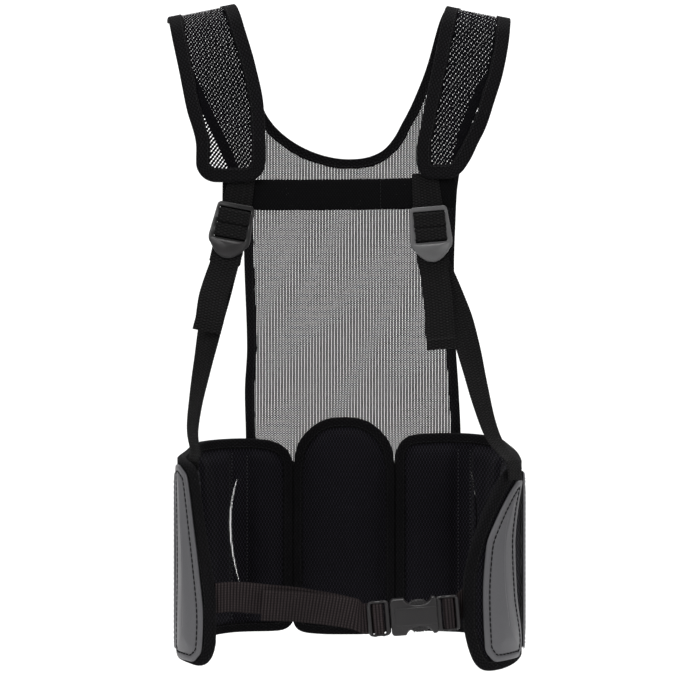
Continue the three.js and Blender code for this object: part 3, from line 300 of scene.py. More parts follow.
def spine_surface(across, up, offset):
    across, up, offset = np.broadcast_arrays(across, up, offset)
    return np.stack([SPINE_MIDDLE + across, PAD_DEPTH + offset, BELT_BOTTOM + up], -1)


back_surface = fold_surface(REAR_FOLD, 1)
strap_surface = fold_surface(FRONT_FOLD, -1)


def wing_outline(side):
    """Smooth low and high edge of a wing along its plan."""
    wing = WINGS[side]
    length = path_length(wing["plan"])
    rows = wing["rear"] + [(length - back, low, high) for back, low, high in wing["front"]][::-1]
    along = [row[0] for row in rows]
    return smooth_line(along, [row[1] for row in rows]), smooth_line(along, [row[2] for row in rows])


# Meshes from arrays

def piece_from(name, points, faces, material, uv=None, smooth=True):
    mesh = bpy.data.meshes.new(name)
    mesh.from_pydata(np.asarray(points).reshape(-1, 3).tolist(), [], [list(face) for face in faces])
    if uv is not None:
        corner = np.empty(len(mesh.loops), dtype=np.int32)
        mesh.loops.foreach_get("vertex_index", corner)
        layer = mesh.uv_layers.new(name="UVMap")
        layer.data.foreach_set("uv", np.asarray(uv, float)[corner].ravel())
    mesh.polygons.foreach_set("use_smooth", [smooth] * len(mesh.polygons))
    mesh.materials.append(material)
    mesh.validate()
    mesh.update()
    piece = bpy.data.objects.new(name, mesh)
    bpy.context.scene.collection.objects.link(piece)
    return piece


def grid_faces(rows, columns, start=0, wrap=False):
    """Quads of a grid of points, row by row; wrap joins the last column to the first."""
    row, column = np.meshgrid(np.arange(rows - 1), np.arange(columns if wrap else columns - 1), indexing="ij")
    after = (column + 1) % columns
    corners = [row * columns + column, row * columns + after, (row + 1) * columns + after,
               (row + 1) * columns + column]
    return start + np.stack(corners, -1).reshape(-1, 4)


def outward(points, faces):
    """Faces turned so that the closed shape they bound has a positive volume."""
    points = np.asarray(points).reshape(-1, 3)
    volume = 0.0
    for face in faces:
        a = points[face[0]]
        for second, third in zip(face[1:-1], face[2:]):
            volume += np.dot(a, np.cross(points[second], points[third]))
    return [tuple(reversed(face)) for face in faces] if volume < 0 else [tuple(face) for face in faces]


def swept(name, rings, material, uv, closed=False):
    """A closed section swept along rings of points, with flat ends or joined into a loop."""
    count, sides = rings.shape[:2]
    if closed:
        rings = np.concatenate([rings, rings[:1]])
        uv = np.concatenate([uv, uv[:1]])
        uv[-1, :, 0] = 2 * uv[-2, :, 0] - uv[-3, :, 0]
        count += 1
    faces = [tuple(face) for face in grid_faces(count, sides, wrap=True)]
    if not closed:
        faces.append(tuple(range(sides))[::-1])
        faces.append(tuple(range((count - 1) * sides, count * sides)))
    points = rings.reshape(-1, 3)
    faces = outward(points, faces)
    piece = piece_from(name, points, faces, material, uv.reshape(-1, 2))
    if closed:
        weld(piece)
    return piece


def weld(piece, distance=1e-6):
    """Join points that lie on each other."""
    apply_modifier(piece, piece.modifiers.new("weld", "WELD"), merge_threshold=distance)


def apply_modifier(piece, modifier, **values):
    for key, value in values.items():
        setattr(modifier, key, value)
    bpy.context.view_layer.update()
    graph = bpy.context.evaluated_depsgraph_get()
    mesh = bpy.data.meshes.new_from_object(piece.evaluated_get(graph), depsgraph=graph)
    piece.modifiers.clear()
    old = piece.data
    mesh.name = old.name
    piece.data = mesh
    bpy.data.meshes.remove(old)


def joined(name, pieces):
    """Several pieces as one mesh object."""
    first = pieces[0]
    with bpy.context.temp_override(active_object=first, selected_editable_objects=pieces):
        bpy.ops.object.join()
    first.name = name
    first.data.name = name
    return first


def fit(piece, slot, *nodes):
    """The piece rides on the part and stands for these CAD nodes, which it hides; the slot is not used."""
    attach(piece, BODY)
    if nodes:
        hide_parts(*nodes)
    return piece


def resampled(points, step, closed=False):
    """Points at an even step on a smooth line through the given ones, and the distance of each."""
    points = np.asarray(points, float)
    if closed:
        points = np.concatenate([points, points[:1]])
    reach = distances(points)
    keep = np.concatenate([[True], np.diff(reach) > 1e-7])
    points, reach = points[keep], reach[keep]
    count = max(2, int(round(reach[-1] / step)) + 1)
    at = np.linspace(0, reach[-1], count)
    if closed:
        at = at[:-1]
    columns = [np.interp(at, reach, points[:, k]) for k in range(points.shape[1])]
    return np.stack(columns, -1), at


def spline(points, step):
    """Even points on a smooth curve through the given ones."""
    points = [np.asarray(point, float) for point in points]
    ends = [2 * points[0] - points[1]] + points + [2 * points[-1] - points[-2]]
    share = np.linspace(0, 1, 24, endpoint=False)[:, None]
    run = []
    for p0, p1, p2, p3 in zip(ends, ends[1:], ends[2:], ends[3:]):
        d0, d1, d2 = (max(np.linalg.norm(b - a), 1e-9) ** 0.5 for a, b in ((p0, p1), (p1, p2), (p2, p3)))
        start = ((p1 - p0) / d0 - (p2 - p0) / (d0 + d1) + (p2 - p1) / d1) * d1
        end = ((p2 - p1) / d1 - (p3 - p1) / (d1 + d2) + (p3 - p2) / d2) * d1
        run.append(p1 + start * share + (3 * (p2 - p1) - 2 * start - end) * share ** 2
                   + (2 * (p1 - p2) + start + end) * share ** 3)
    run.append(points[-1][None, :])
    return resampled(np.concatenate(run), step)[0]


def curve_points(start, bend, end, steps=9):
    """Points on a curve that leaves its start and reaches its end in line with one bend point."""
    share = np.linspace(0, 1, steps)[:, None]
    return list((1 - share) ** 2 * np.array(start) + 2 * share * (1 - share) * np.array(bend)
                + share ** 2 * np.array(end))


def rounded_loop(points, step, reach):
    """A closed outline at an even step, with its corners rounded over a reach."""
    loop = resampled(points, step, closed=True)[0]
    passes = max(1, int((reach / step) ** 2 / 2))
    for _ in range(passes):
        loop = (np.roll(loop, 1, 0) + 2 * loop + np.roll(loop, -1, 0)) / 4
    return loop


def inside(points, outline):
    """Which points lie inside a closed outline."""
    x, y = points[..., 0], points[..., 1]
    found = np.zeros(x.shape, bool)
    for (x0, y0), (x1, y1) in zip(outline, np.roll(outline, -1, 0)):
        if y0 == y1:
            continue
        spans = (y0 > y) != (y1 > y)
        found ^= spans & (x < x0 + (y - y0) * (x1 - x0) / (y1 - y0))
    return found


def edge_distance(points, outline):
    """How far points are from the nearest stretch of a closed outline."""
    best = np.full(points.shape[:-1], np.inf)
    for start, end in zip(outline, np.roll(outline, -1, 0)):
        along = end - start
        size = np.dot(along, along)
        if size == 0:
            continue
        share = np.clip(((points - start) @ along) / size, 0, 1)
        best = np.minimum(best, np.linalg.norm(points - start - share[..., None] * along, axis=-1))
    return best


def loop_area(outline):
    x, y = outline[:, 0], outline[:, 1]
    return abs(np.dot(x, np.roll(y, -1)) - np.dot(y, np.roll(x, -1))) / 2


# Outlines of the cloth in its flat pattern

OUTLINE_STEP = 0.0025
# A short step whose two ends give a direction
SMALL_STEP = 0.001


def back_edges():
    """Left edge, right edge and neckline of the back panel, each from its start to its end."""
    columns = {name: [row[k] for row in BACK_ROWS] for k, name in enumerate(BACK_COLUMNS)}
    down = np.arange(0, columns["edge_down"][-1] + 1e-9, OUTLINE_STEP)
    left = np.stack([smooth_line(columns["edge_down"], columns["left"])(down), down], -1)
    right = np.stack([smooth_line(columns["edge_down"], columns["right"])(down), down], -1)
    rows = [row for row in BACK_ROWS if row[3] <= NECK_BOTTOM]
    neck = [(row[4], row[3]) for row in rows] + [(row[5], row[3]) for row in rows[:-1]][::-1]
    return left, right, spline(neck, OUTLINE_STEP)


def strap_edge(side):
    """Edge of a front strap from its outer ridge corner round the bottom to its inner ridge corner."""
    strap = STRAPS[side]
    sign = SIDES[side]
    down = [row[0] for row in strap["rows"]] + [strap["bottom"]]
    outer = smooth_line(down, [row[1] for row in strap["rows"]] + [strap["rows"][-1][1]])
    inner = smooth_line(down, [row[2] for row in strap["rows"]] + [strap["rows"][-1][2]])
    turn = np.linspace(0, np.pi / 2, 14)[1:]

    def side_line(edge, radius, way):
        start = strap["bottom"] - radius
        run = np.arange(0, start, OUTLINE_STEP)
        straight = np.stack([edge(run), run], -1)
        corner_down = start + radius * np.sin(turn)
        corner = np.stack([edge(corner_down) - way * radius * (1 - np.cos(turn)), corner_down], -1)
        return np.concatenate([straight, corner])
    outside = side_line(outer, strap["corner_outer"], sign)
    within = side_line(inner, strap["corner_inner"], -sign)
    return resampled(np.concatenate([outside, within[::-1]]), OUTLINE_STEP)[0]


def wing_loop(side):
    low, high = wing_outline(side)
    length = path_length(WINGS[side]["plan"])
    along = np.linspace(0, length, 140)
    points = np.concatenate([np.stack([along, low(along)], -1), np.stack([along, high(along)], -1)[::-1]])
    return rounded_loop(points, OUTLINE_STEP, 0.003)


def spine_edges():
    out = [row[0] for row in SPINE_ROWS]
    return smooth_line(out, [row[1] for row in SPINE_ROWS]), smooth_line(out, [row[2] for row in SPINE_ROWS])


def spine_loop():
    low, high = spine_edges()
    edge = SPINE_ROWS[-1][0]
    across = np.linspace(-edge, edge, 90)
    points = np.concatenate([np.stack([across, low(np.abs(across))], -1),
                             np.stack([across, high(np.abs(across))], -1)[::-1]])
    return rounded_loop(points, OUTLINE_STEP, 0.005)


# Finishes

class Nodes:
    """Adds nodes to one tree and links their inputs."""

    def __init__(self, tree):
        self.tree = tree

    def add(self, kind, inputs=(), **settings):
        node = self.tree.nodes.new(kind)
        for key, value in settings.items():
            setattr(node, key, value)
        for key, value in dict(inputs).items():
            if isinstance(value, bpy.types.NodeSocket):
                self.tree.links.new(value, node.inputs[key])
            else:
                node.inputs[key].default_value = value
        return node

    def math(self, operation, first, second=0.0):
        return self.add("ShaderNodeMath", {0: first, 1: second}, operation=operation).outputs[0]

    def spread(self, value, low, high, to_low, to_high):
        inputs = {"Value": value, "From Min": low, "From Max": high, "To Min": to_low, "To Max": to_high}
        return self.add("ShaderNodeMapRange", inputs).outputs["Result"]

    def mix(self, share, first, second):
        inputs = {0: share, 6: first, 7: second}
        return self.add("ShaderNodeMix", inputs, data_type="RGBA").outputs[2]


def shader_group(name, numbers, outputs):
    """A shader group that reads coordinates and named numbers."""
    tree = bpy.data.node_groups.new(name, "ShaderNodeTree")
    tree.interface.new_socket("Coordinates", in_out="INPUT", socket_type="NodeSocketVector")
    for label, value in numbers.items():
        socket = tree.interface.new_socket(label, in_out="INPUT", socket_type="NodeSocketFloat")
        socket.default_value = value
    for label in outputs:
        tree.interface.new_socket(label, in_out="OUTPUT", socket_type="NodeSocketFloat")
    given = tree.nodes.new("NodeGroupInput").outputs
    out = tree.nodes.new("NodeGroupOutput").inputs
    return tree, Nodes(tree), given, out


def woven_group():
    """Yarns side by side whose floats rise and fall; Step shifts each yarn against the one before. The second
    output is painted shade in the hollows between the raised yarns.
    """
    numbers = {"Across": 0.001, "Along": 0.001, "Step": 0.5, "Crest": 0.75}
    tree, nodes, given, out = shader_group("woven yarns", numbers, ["Height", "Hollow_Shade"])
    axes = nodes.add("ShaderNodeSeparateXYZ", {0: given["Coordinates"]}).outputs
    across = nodes.math("DIVIDE", axes[0], given["Across"])
    along = nodes.math("DIVIDE", axes[1], given["Along"])
    yarn = nodes.math("FLOOR", across)
    stepped = nodes.math("ADD", along, nodes.math("MULTIPLY", yarn, given["Step"]))
    ridge = nodes.math("ABSOLUTE", nodes.math("SINE", nodes.math("MULTIPLY", across, math.pi)))
    over = nodes.math("ABSOLUTE", nodes.math("SINE", nodes.math("MULTIPLY", stepped, math.pi)))
    height = nodes.math("MULTIPLY", nodes.spread(ridge, 0.0, 1.0, 0.5, 1.0), over)
    tree.links.new(height, out["Height"])
    tree.links.new(nodes.spread(height, 0.15, given["Crest"], 1.0, 0.0), out["Hollow_Shade"])
    return tree


def fibre_group():
    """Fine fuzz and broad fading of cloth or moulded skin."""
    numbers = {"Fine": 900.0, "Broad": 14.0}
    tree, nodes, given, out = shader_group("fibre and fading", numbers, ["Fuzz", "Fade"])
    for label, scale, detail in (("Fuzz", "Fine", 3.0), ("Fade", "Broad", 4.0)):
        noise = nodes.add("ShaderNodeTexNoise", {"Vector": given["Coordinates"], "Scale": given[scale],
                                                 "Detail": detail, "Roughness": 0.6})
        tree.links.new(noise.outputs[0], out[label])
    return tree


def lint_group():
    """Small pale specks of lint and dust."""
    tree, nodes, given, out = shader_group("lint specks", {"Size": 700.0, "Amount": 0.006}, ["Speck"])
    cells = nodes.add("ShaderNodeTexVoronoi", {"Vector": given["Coordinates"], "Scale": given["Size"]})
    near = nodes.math("LESS_THAN", cells.outputs["Distance"], 0.22)
    chosen = nodes.add("ShaderNodeSeparateColor", {0: cells.outputs["Color"]}).outputs[0]
    rare = nodes.math("LESS_THAN", chosen, given["Amount"])
    tree.links.new(nodes.math("MULTIPLY", near, rare), out["Speck"])
    return tree


def knit_group():
    """Rows of small knit loops; the second output marks the pores between them, which are darkened as painted
    shade.
    """
    tree, nodes, given, out = shader_group("knit loops", {"Pitch": 0.0012}, ["Height", "Pore_Shade"])
    axes = nodes.add("ShaderNodeSeparateXYZ", {0: given["Coordinates"]}).outputs
    across = nodes.math("DIVIDE", axes[0], given["Pitch"])
    up = nodes.math("DIVIDE", axes[2], given["Pitch"])
    row = nodes.math("MULTIPLY", nodes.math("FLOOR", up), 0.5)
    loop = nodes.math("SINE", nodes.math("MULTIPLY", nodes.math("ADD", across, row), 2 * math.pi))
    course = nodes.math("SINE", nodes.math("MULTIPLY", up, 2 * math.pi))
    height = nodes.math("MULTIPLY", nodes.math("ADD", nodes.math("MULTIPLY", loop, course), 1.0), 0.5)
    tree.links.new(height, out["Height"])
    tree.links.new(nodes.math("LESS_THAN", height, 0.16), out["Pore_Shade"])
    return tree


GROUPS = {"woven": woven_group(), "fibre": fibre_group(), "lint": lint_group(), "knit": knit_group()}


# How far the fading, fuzz, painted shade in weave hollows, painted highlights on knit loops, painted shade in
# knit pores, and lint change the base colour
FADE_RANGE = (0.3, 0.7)
FUZZ = {"range": (0.25, 0.8), "share": 0.5, "gain": 0.55}
HOLLOW_SHADE = {"share": 0.9, "gain": 0.12}
LOOP_HIGHLIGHT = {"range": (0.6, 0.95), "gain": 6.0}
PORE_SHADE = {"share": 0.9, "gain": 0.1}
LINT = {"share": 0.25, "colour": (0.12, 0.118, 0.115, 1.0)}
ROUGH_VARIES = 0.06
RELIEF_STRENGTH = 0.8


def shade(colour, gain):
    return tuple(min(1.0, part * gain) for part in colour[:3]) + (1.0,)


def finish(name, colour, roughness, bump, lint=0.0, fade=0.25, sheen=0.0, specular=0.12, fine=900.0,
           woven=None, knit=None, fuzz_bump=0.4, coat=0.0):
    """A finish: base colour with fading, fuzz, woven or knit relief with painted shade in its hollows and
    pores and painted highlights on knit loops, and lint.

    Woven gives the yarn's pitch across and along, its step, and how high a yarn is where the painted shade of
    its hollows ends.
    """
    material = bpy.data.materials.new(name)
    material.use_nodes = True
    nodes = Nodes(material.node_tree)
    body = material.node_tree.nodes["Principled BSDF"]
    coordinates = nodes.add("ShaderNodeTexCoord").outputs
    flat, solid = coordinates["UV"], coordinates["Object"]

    def group(key, **values):
        return nodes.add("ShaderNodeGroup", values, node_tree=GROUPS[key]).outputs
    fibre = group("fibre", Coordinates=solid, Fine=fine)
    tone = nodes.mix(nodes.spread(fibre["Fade"], *FADE_RANGE, 0.0, 1.0), shade(colour, 1 - fade),
                     shade(colour, 1 + fade))
    fuzz = nodes.spread(fibre["Fuzz"], *FUZZ["range"], 0.0, FUZZ["share"])
    tone = nodes.mix(fuzz, tone, shade(colour, FUZZ["gain"]))
    height = nodes.math("MULTIPLY", fibre["Fuzz"], fuzz_bump)
    if woven:
        across, along, step, crest = woven
        cloth = group("woven", Coordinates=flat, Across=across, Along=along, Step=step, Crest=crest)
        # painted shade: the low parts of the weave are darkened in the base colour
        hollow_shade = nodes.math("MULTIPLY", cloth["Hollow_Shade"], HOLLOW_SHADE["share"])
        tone = nodes.mix(hollow_shade, tone, shade(colour, HOLLOW_SHADE["gain"]))
        height = nodes.math("ADD", height, cloth["Height"])
    if knit:
        loops = group("knit", Coordinates=solid, Pitch=knit)
        # painted highlight: the crowns of the knit loops are made paler
        crown_highlight = nodes.spread(loops["Height"], *LOOP_HIGHLIGHT["range"], 0.0, 1.0)
        tone = nodes.mix(crown_highlight, tone, shade(colour, LOOP_HIGHLIGHT["gain"]))
        # painted shade: the pores between the knit loops are darkened
        pore_shade = nodes.math("MULTIPLY", loops["Pore_Shade"], PORE_SHADE["share"])
        tone = nodes.mix(pore_shade, tone, shade(colour, PORE_SHADE["gain"]))
        height = nodes.math("ADD", height, loops["Height"])
    if lint:
        specks = group("lint", Coordinates=solid, Amount=lint)
        tone = nodes.mix(nodes.math("MULTIPLY", specks["Speck"], LINT["share"]), tone, LINT["colour"])
    relief = nodes.add("ShaderNodeBump", {"Height": height, "Distance": bump, "Strength": RELIEF_STRENGTH})
    links = material.node_tree.links
    links.new(tone, body.inputs["Base Color"])
    worn = nodes.spread(fibre["Fade"], *FADE_RANGE, roughness - ROUGH_VARIES, roughness + ROUGH_VARIES)
    links.new(worn, body.inputs["Roughness"])
    links.new(relief.outputs[0], body.inputs["Normal"])
    body.inputs["Specular IOR Level"].default_value = specular
    body.inputs["Sheen Weight"].default_value = sheen
    body.inputs["Sheen Roughness"].default_value = 0.5
    body.inputs["Coat Weight"].default_value = coat
    return material


NET_YARN = finish("net yarn", (0.0085, 0.0083, 0.0098), 0.75, 0.0001, lint=0.006)
STRAP_YARN = finish("strap net yarn", (0.0030, 0.0029, 0.0040), 0.85, 0.0001, specular=0.04)
TAPE_CLOTH = finish("binding tape", (0.0085, 0.0082, 0.0092), 0.85, 0.0005, lint=0.006, sheen=0.01,
                    specular=0.05, woven=(0.0024, 0.0030, 0.5, 0.75))
WEB_CLOTH = finish("ribbed webbing", (0.0165, 0.0160, 0.0164), 0.7, 0.0006, lint=0.006,
                   specular=0.05, woven=(0.0027, RIB["pitch"], 0.5, 1.05))
WAIST_CLOTH = finish("waist webbing", (0.0445, 0.0355, 0.0370), 0.7, 0.0006, lint=0.006,
                     specular=0.05, woven=(0.0020, RIB["pitch"], 0.0, 1.0))
ELASTIC_CLOTH = finish("chest elastic", (0.0045, 0.0045, 0.0050), 0.85, 0.0002, lint=0.006,
                       specular=0.05, woven=(0.0018, 0.0024, 0.5, 0.75))
PAD_KNIT = finish("pad knit", (0.0048, 0.0045, 0.0060), 0.92, 0.0006, lint=0.006, sheen=0.02,
                  specular=0.05, knit=0.0027)
COATED = finish("coated grey sheet", (0.098, 0.0965, 0.104), 0.42, 0.00006, lint=0.006, fade=0.08,
                fine=1500.0, specular=0.45)
PLASTIC = finish("moulded plastic", (0.0128, 0.0112, 0.0121), 0.36, 0.00005, lint=0.006, fade=0.1,
                 fine=2200.0, specular=0.45)
# Darker copy of the moulded plastic, painted shade on the left lock's frame
SHADED_PLASTIC = finish("shaded moulded plastic", (0.0052, 0.0048, 0.0053), 0.32, 0.00005, lint=0.006, fade=0.1,
                      fine=2200.0, specular=0.5)
# Pale copy of the moulded plastic, painted reflection over the whole right lock
PLASTIC_WITH_REFLECTION = finish("moulded plastic with painted reflection", (0.098, 0.097, 0.099), 0.34, 0.00005, lint=0.006, fade=0.12,
                      fine=2200.0, specular=0.5)
THREAD = finish("sewing thread", (0.012, 0.012, 0.013), 0.6, 0.0001, sheen=0.05)
BLACK_THREAD = finish("plate thread", (0.004, 0.004, 0.0045), 0.65, 0.0001)
GREY_THREAD = finish("pad seam thread", (0.075, 0.075, 0.078), 0.6, 0.0001)


# Open knit nets

NET_RELIEF = 0.00035
NET_WAVE = {"size": 0.0004, "down": 0.170, "across": 0.120}


def net_layer(outline, pitch, course, turn, holes, tight=None):
    """Flat wales whose gaps open into diamonds at every other station, wide and narrow by turns.

    Tight gives how far down a closer knit ends and fades, and its share of the hole width.
    """
    low, high = outline.min(0), outline.max(0)
    reach = np.linalg.norm(high - low) / 2 + pitch
    wales = np.arange(int(2 * reach / pitch))
    stations = np.arange(int(4 * reach / course))
    cos, sin = math.cos(turn), math.sin(turn)
    middle = (low + high) / 2
    run = stations * course / 2 - reach
    line = wales * pitch - reach
    opening = 1.0
    if tight:
        down = middle[1] + line[:, None] * sin + run[None, :] * cos
        opening = tight[2] + (1 - tight[2]) * smooth_step(down, tight[0], tight[1])

    def edge(gap):
        opened = (gap[:, None] + stations[None, :]) % 2 * opening
        return pitch / 2 - np.take(holes, gap % 2)[:, None] / 2 * opened
    left, right = edge(wales), edge(wales + 1)
    u = line[:, None, None] + np.stack([-left, right], -1)
    v = np.broadcast_to(run[None, :, None], u.shape)
    u = u + NET_WAVE["size"] * np.sin(v * 2 * np.pi / NET_WAVE["down"] + u * 2 * np.pi / NET_WAVE["across"])
    flat = np.stack([middle[0] + u * cos - v * sin, middle[1] + u * sin + v * cos], -1)
    kept = inside(flat.mean(2), outline)
    relief = np.broadcast_to(NET_RELIEF * (wales % 2 - 0.5)[:, None, None], u.shape)
    index = np.arange(u.size).reshape(u.shape)
    both = kept[:, :-1] & kept[:, 1:]
    corners = [index[:, :-1, 0], index[:, :-1, 1], index[:, 1:, 1], index[:, 1:, 0]]
    quads = np.stack(corners, -1)[both]
    return flat.reshape(-1, 2), relief.ravel(), quads, np.stack([u, v], -1).reshape(-1, 2)


def net_piece(name, outline, surface, knit, yarn, wrinkle=None):
    """A net laid on a surface, from its pitch, course, turn and hole widths."""
    flat, lift, quads, uv = net_layer(outline, **knit)
    used, quads = np.unique(quads, return_inverse=True)
    flat, lift, uv = flat[used], lift[used], uv[used]
    if wrinkle:
        lift = lift + wrinkle(flat[:, 0], flat[:, 1])
    points = surface(flat[:, 0], flat[:, 1], lift)
    return piece_from(name, points, quads.reshape(-1, 4), yarn, uv)


BACK_NET = {"pitch": 0.00137, "course": 0.0021, "turn": 0.0, "holes": (0.00074, 0.00028),
            "tight": (0.100, 0.150, 0.80)}
STRAP_NET = {"pitch": 0.0014, "course": 0.0025, "turn": math.radians(35), "holes": (0.00112, 0.00002),
             "tight": (0.004, 0.045, 0.30)}
# The strap net laps over the ridge, so that no row of loops is missing there
RIDGE_ROW = 0.0005
NET_PAST_RIDGE = 0.0024
RIDGE_SPREAD = 0.022
# Slow waves of the back panel: height, turns across and down, and where they start and are full
BACK_WAVE = {"height": 0.0008, "across": 41, "down": 17, "from": 0.15, "full": 0.22}
# Soft folds of the back panel: where they start and end (across, down), their width and height
BACK_FOLDS = [
    ((-0.034, 0.372), (0.020, 0.300), 0.011, 0.0022),
    ((0.058, 0.395), (0.090, 0.345), 0.008, 0.0016),
    ((-0.080, 0.390), (-0.058, 0.330), 0.009, 0.0015),
    ((-0.060, 0.176), (0.050, 0.168), 0.007, 0.0010),
]


def back_wrinkle(across, down):
    """Shallow folds and slow waves of the hanging back panel."""
    at = np.stack([across, down], -1)
    wave = np.sin(across * BACK_WAVE["across"] + down * BACK_WAVE["down"])
    lift = BACK_WAVE["height"] * wave * smooth_step(down, BACK_WAVE["from"], BACK_WAVE["full"])
    for start, end, width, height in BACK_FOLDS:
        start, along = np.array(start), np.array(end) - np.array(start)
        share = ((at - start) @ along) / np.dot(along, along)
        away = np.linalg.norm(at - start - np.clip(share, 0, 1)[:, None] * along, axis=1)
        lift = lift - height * np.exp(-(away / width) ** 2)
    return lift


def ridge_lift(across, down):
    """The folded cloth is as thick as its tape along the ridge."""
    return STRAP_THICK / 2 * np.exp(-(down / RIDGE_SPREAD) ** 2)


def back_lift(across, down):
    return back_wrinkle(across, down) + ridge_lift(across, down)


LEFT_EDGE, RIGHT_EDGE, NECK_EDGE = back_edges()
BACK_LOOP = np.concatenate([LEFT_EDGE, RIGHT_EDGE[::-1], NECK_EDGE[::-1]])


def build_nets():
    back = net_piece("back_net", BACK_LOOP, back_surface, BACK_NET, NET_YARN, back_lift)
    fit(back, "net", "back_mesh")
    loop_area(BACK_LOOP)
    for side in SIDES:
        edge = strap_edge(side)
        over = edge.copy()
        over[edge[:, 1] < RIDGE_ROW, 1] -= NET_PAST_RIDGE
        strap = net_piece(f"strap_net_{side}", over, strap_surface, STRAP_NET, STRAP_YARN, ridge_lift)
        fit(strap, "net", f"strap_mesh_{side}")
        loop_area(edge)


# Folded binding tapes and their stitches

TAPE_FLATS = (1.0, 0.82, 0.6, 0.38, 0.16)
TAPE_LINING = (1.0, 0.5, 0.1)
TAPE_TURNS = 9
# Uneven tape width as (share, length) and the pucker of its seam as (height, length)
TAPE_WAVES = [(0.03, 0.031), (0.02, 0.0123)]
TAPE_PUCKER = (0.00014, 0.0062)
TAPE_STITCH_IN = 0.0018
STITCH_PROUD = 0.0001
TAPE_END = 0.006
TAPE_FOLD = 1.1
PAD_TAPE_FOLD = 1.7
STITCH = {"pitch": 0.0031, "length": 0.0024, "thick": 0.0005}


def tape_section(width, outer, inner, fold):
    """Points of a tape folded over an edge, as (depth, offset), first outside and then inside."""
    away = TAPE_GAP + TAPE_THICK
    turn = np.linspace(np.pi / 2, 3 * np.pi / 2, TAPE_TURNS)
    middle = (outer - inner) / 2
    half = (outer + inner) / 2
    outside = [(width * share, outer + away) for share in TAPE_FLATS]
    outside += [(away * math.cos(a) * fold, middle + (half + away) * math.sin(a)) for a in turn]
    outside += [(width * share, -inner - away) for share in TAPE_FLATS[::-1]]
    within = [(width * share, -inner - TAPE_GAP) for share in TAPE_LINING]
    within += [(width * share, outer + TAPE_GAP) for share in TAPE_LINING[::-1]]
    return np.array(outside + within)


def path_normals(path, closed):
    """Unit normals to the left of a flat path."""
    if closed:
        along = np.roll(path, -1, 0) - np.roll(path, 1, 0)
    else:
        along = np.gradient(path, axis=0)
    normal = np.stack([-along[:, 1], along[:, 0]], -1)
    return unit(normal)


def tape_piece(name, path, surface, width, outer, inner, closed=False, wrinkle=None):
    """A binding tape along an edge whose cloth lies on the left of the path."""
    section = tape_section(width, outer, inner, PAD_TAPE_FOLD if closed else TAPE_FOLD)
    normals = path_normals(path, closed)
    reach = distances(path)
    if not closed:
        level = np.exp(-np.minimum(reach, reach[-1] - reach) / TAPE_END)[:, None]
        cut = np.stack([np.sign(normals[:, 0]), np.zeros(len(path))], -1)
        normals = unit(normals * (1 - level) + cut * level)
    wave = 1 + sum(share * np.sin(reach * 2 * np.pi / length) for share, length in TAPE_WAVES)
    pucker = TAPE_PUCKER[0] * np.sin(reach * 2 * np.pi / TAPE_PUCKER[1])
    depth = section[None, :, 0] * np.where(section[None, :, 0] > 0, wave[:, None], 1)
    offset = section[None, :, 1] + pucker[:, None] * np.sign(section[None, :, 1])
    across = path[:, None, 0] + normals[:, None, 0] * depth
    down = path[:, None, 1] + normals[:, None, 1] * depth
    if wrinkle:
        offset = offset + wrinkle(across.ravel(), down.ravel()).reshape(across.shape)
    rings = surface(across, down, offset)
    run = distances(section)
    uv = np.stack(np.broadcast_arrays(reach[:, None], run[None, :]), -1).copy()
    tape = swept(name, rings, TAPE_CLOTH, uv, closed)
    rows = []
    spot = path + normals * (width - TAPE_STITCH_IN)
    for level in (outer, -inner):
        level = level + math.copysign(TAPE_GAP + TAPE_THICK + STITCH_PROUD, level)
        lift = np.full(len(path), level)
        if wrinkle:
            lift = lift + wrinkle(spot[:, 0], spot[:, 1])
        line = surface(spot[:, 0], spot[:, 1], lift)
        over = surface(spot[:, 0], spot[:, 1], lift + math.copysign(SMALL_STEP, level)) - line
        rows.append((line, over, closed))
    stitches = stitch_rows(name + "_stitches", rows, THREAD, **STITCH)
    return joined(name, [tape, stitches])


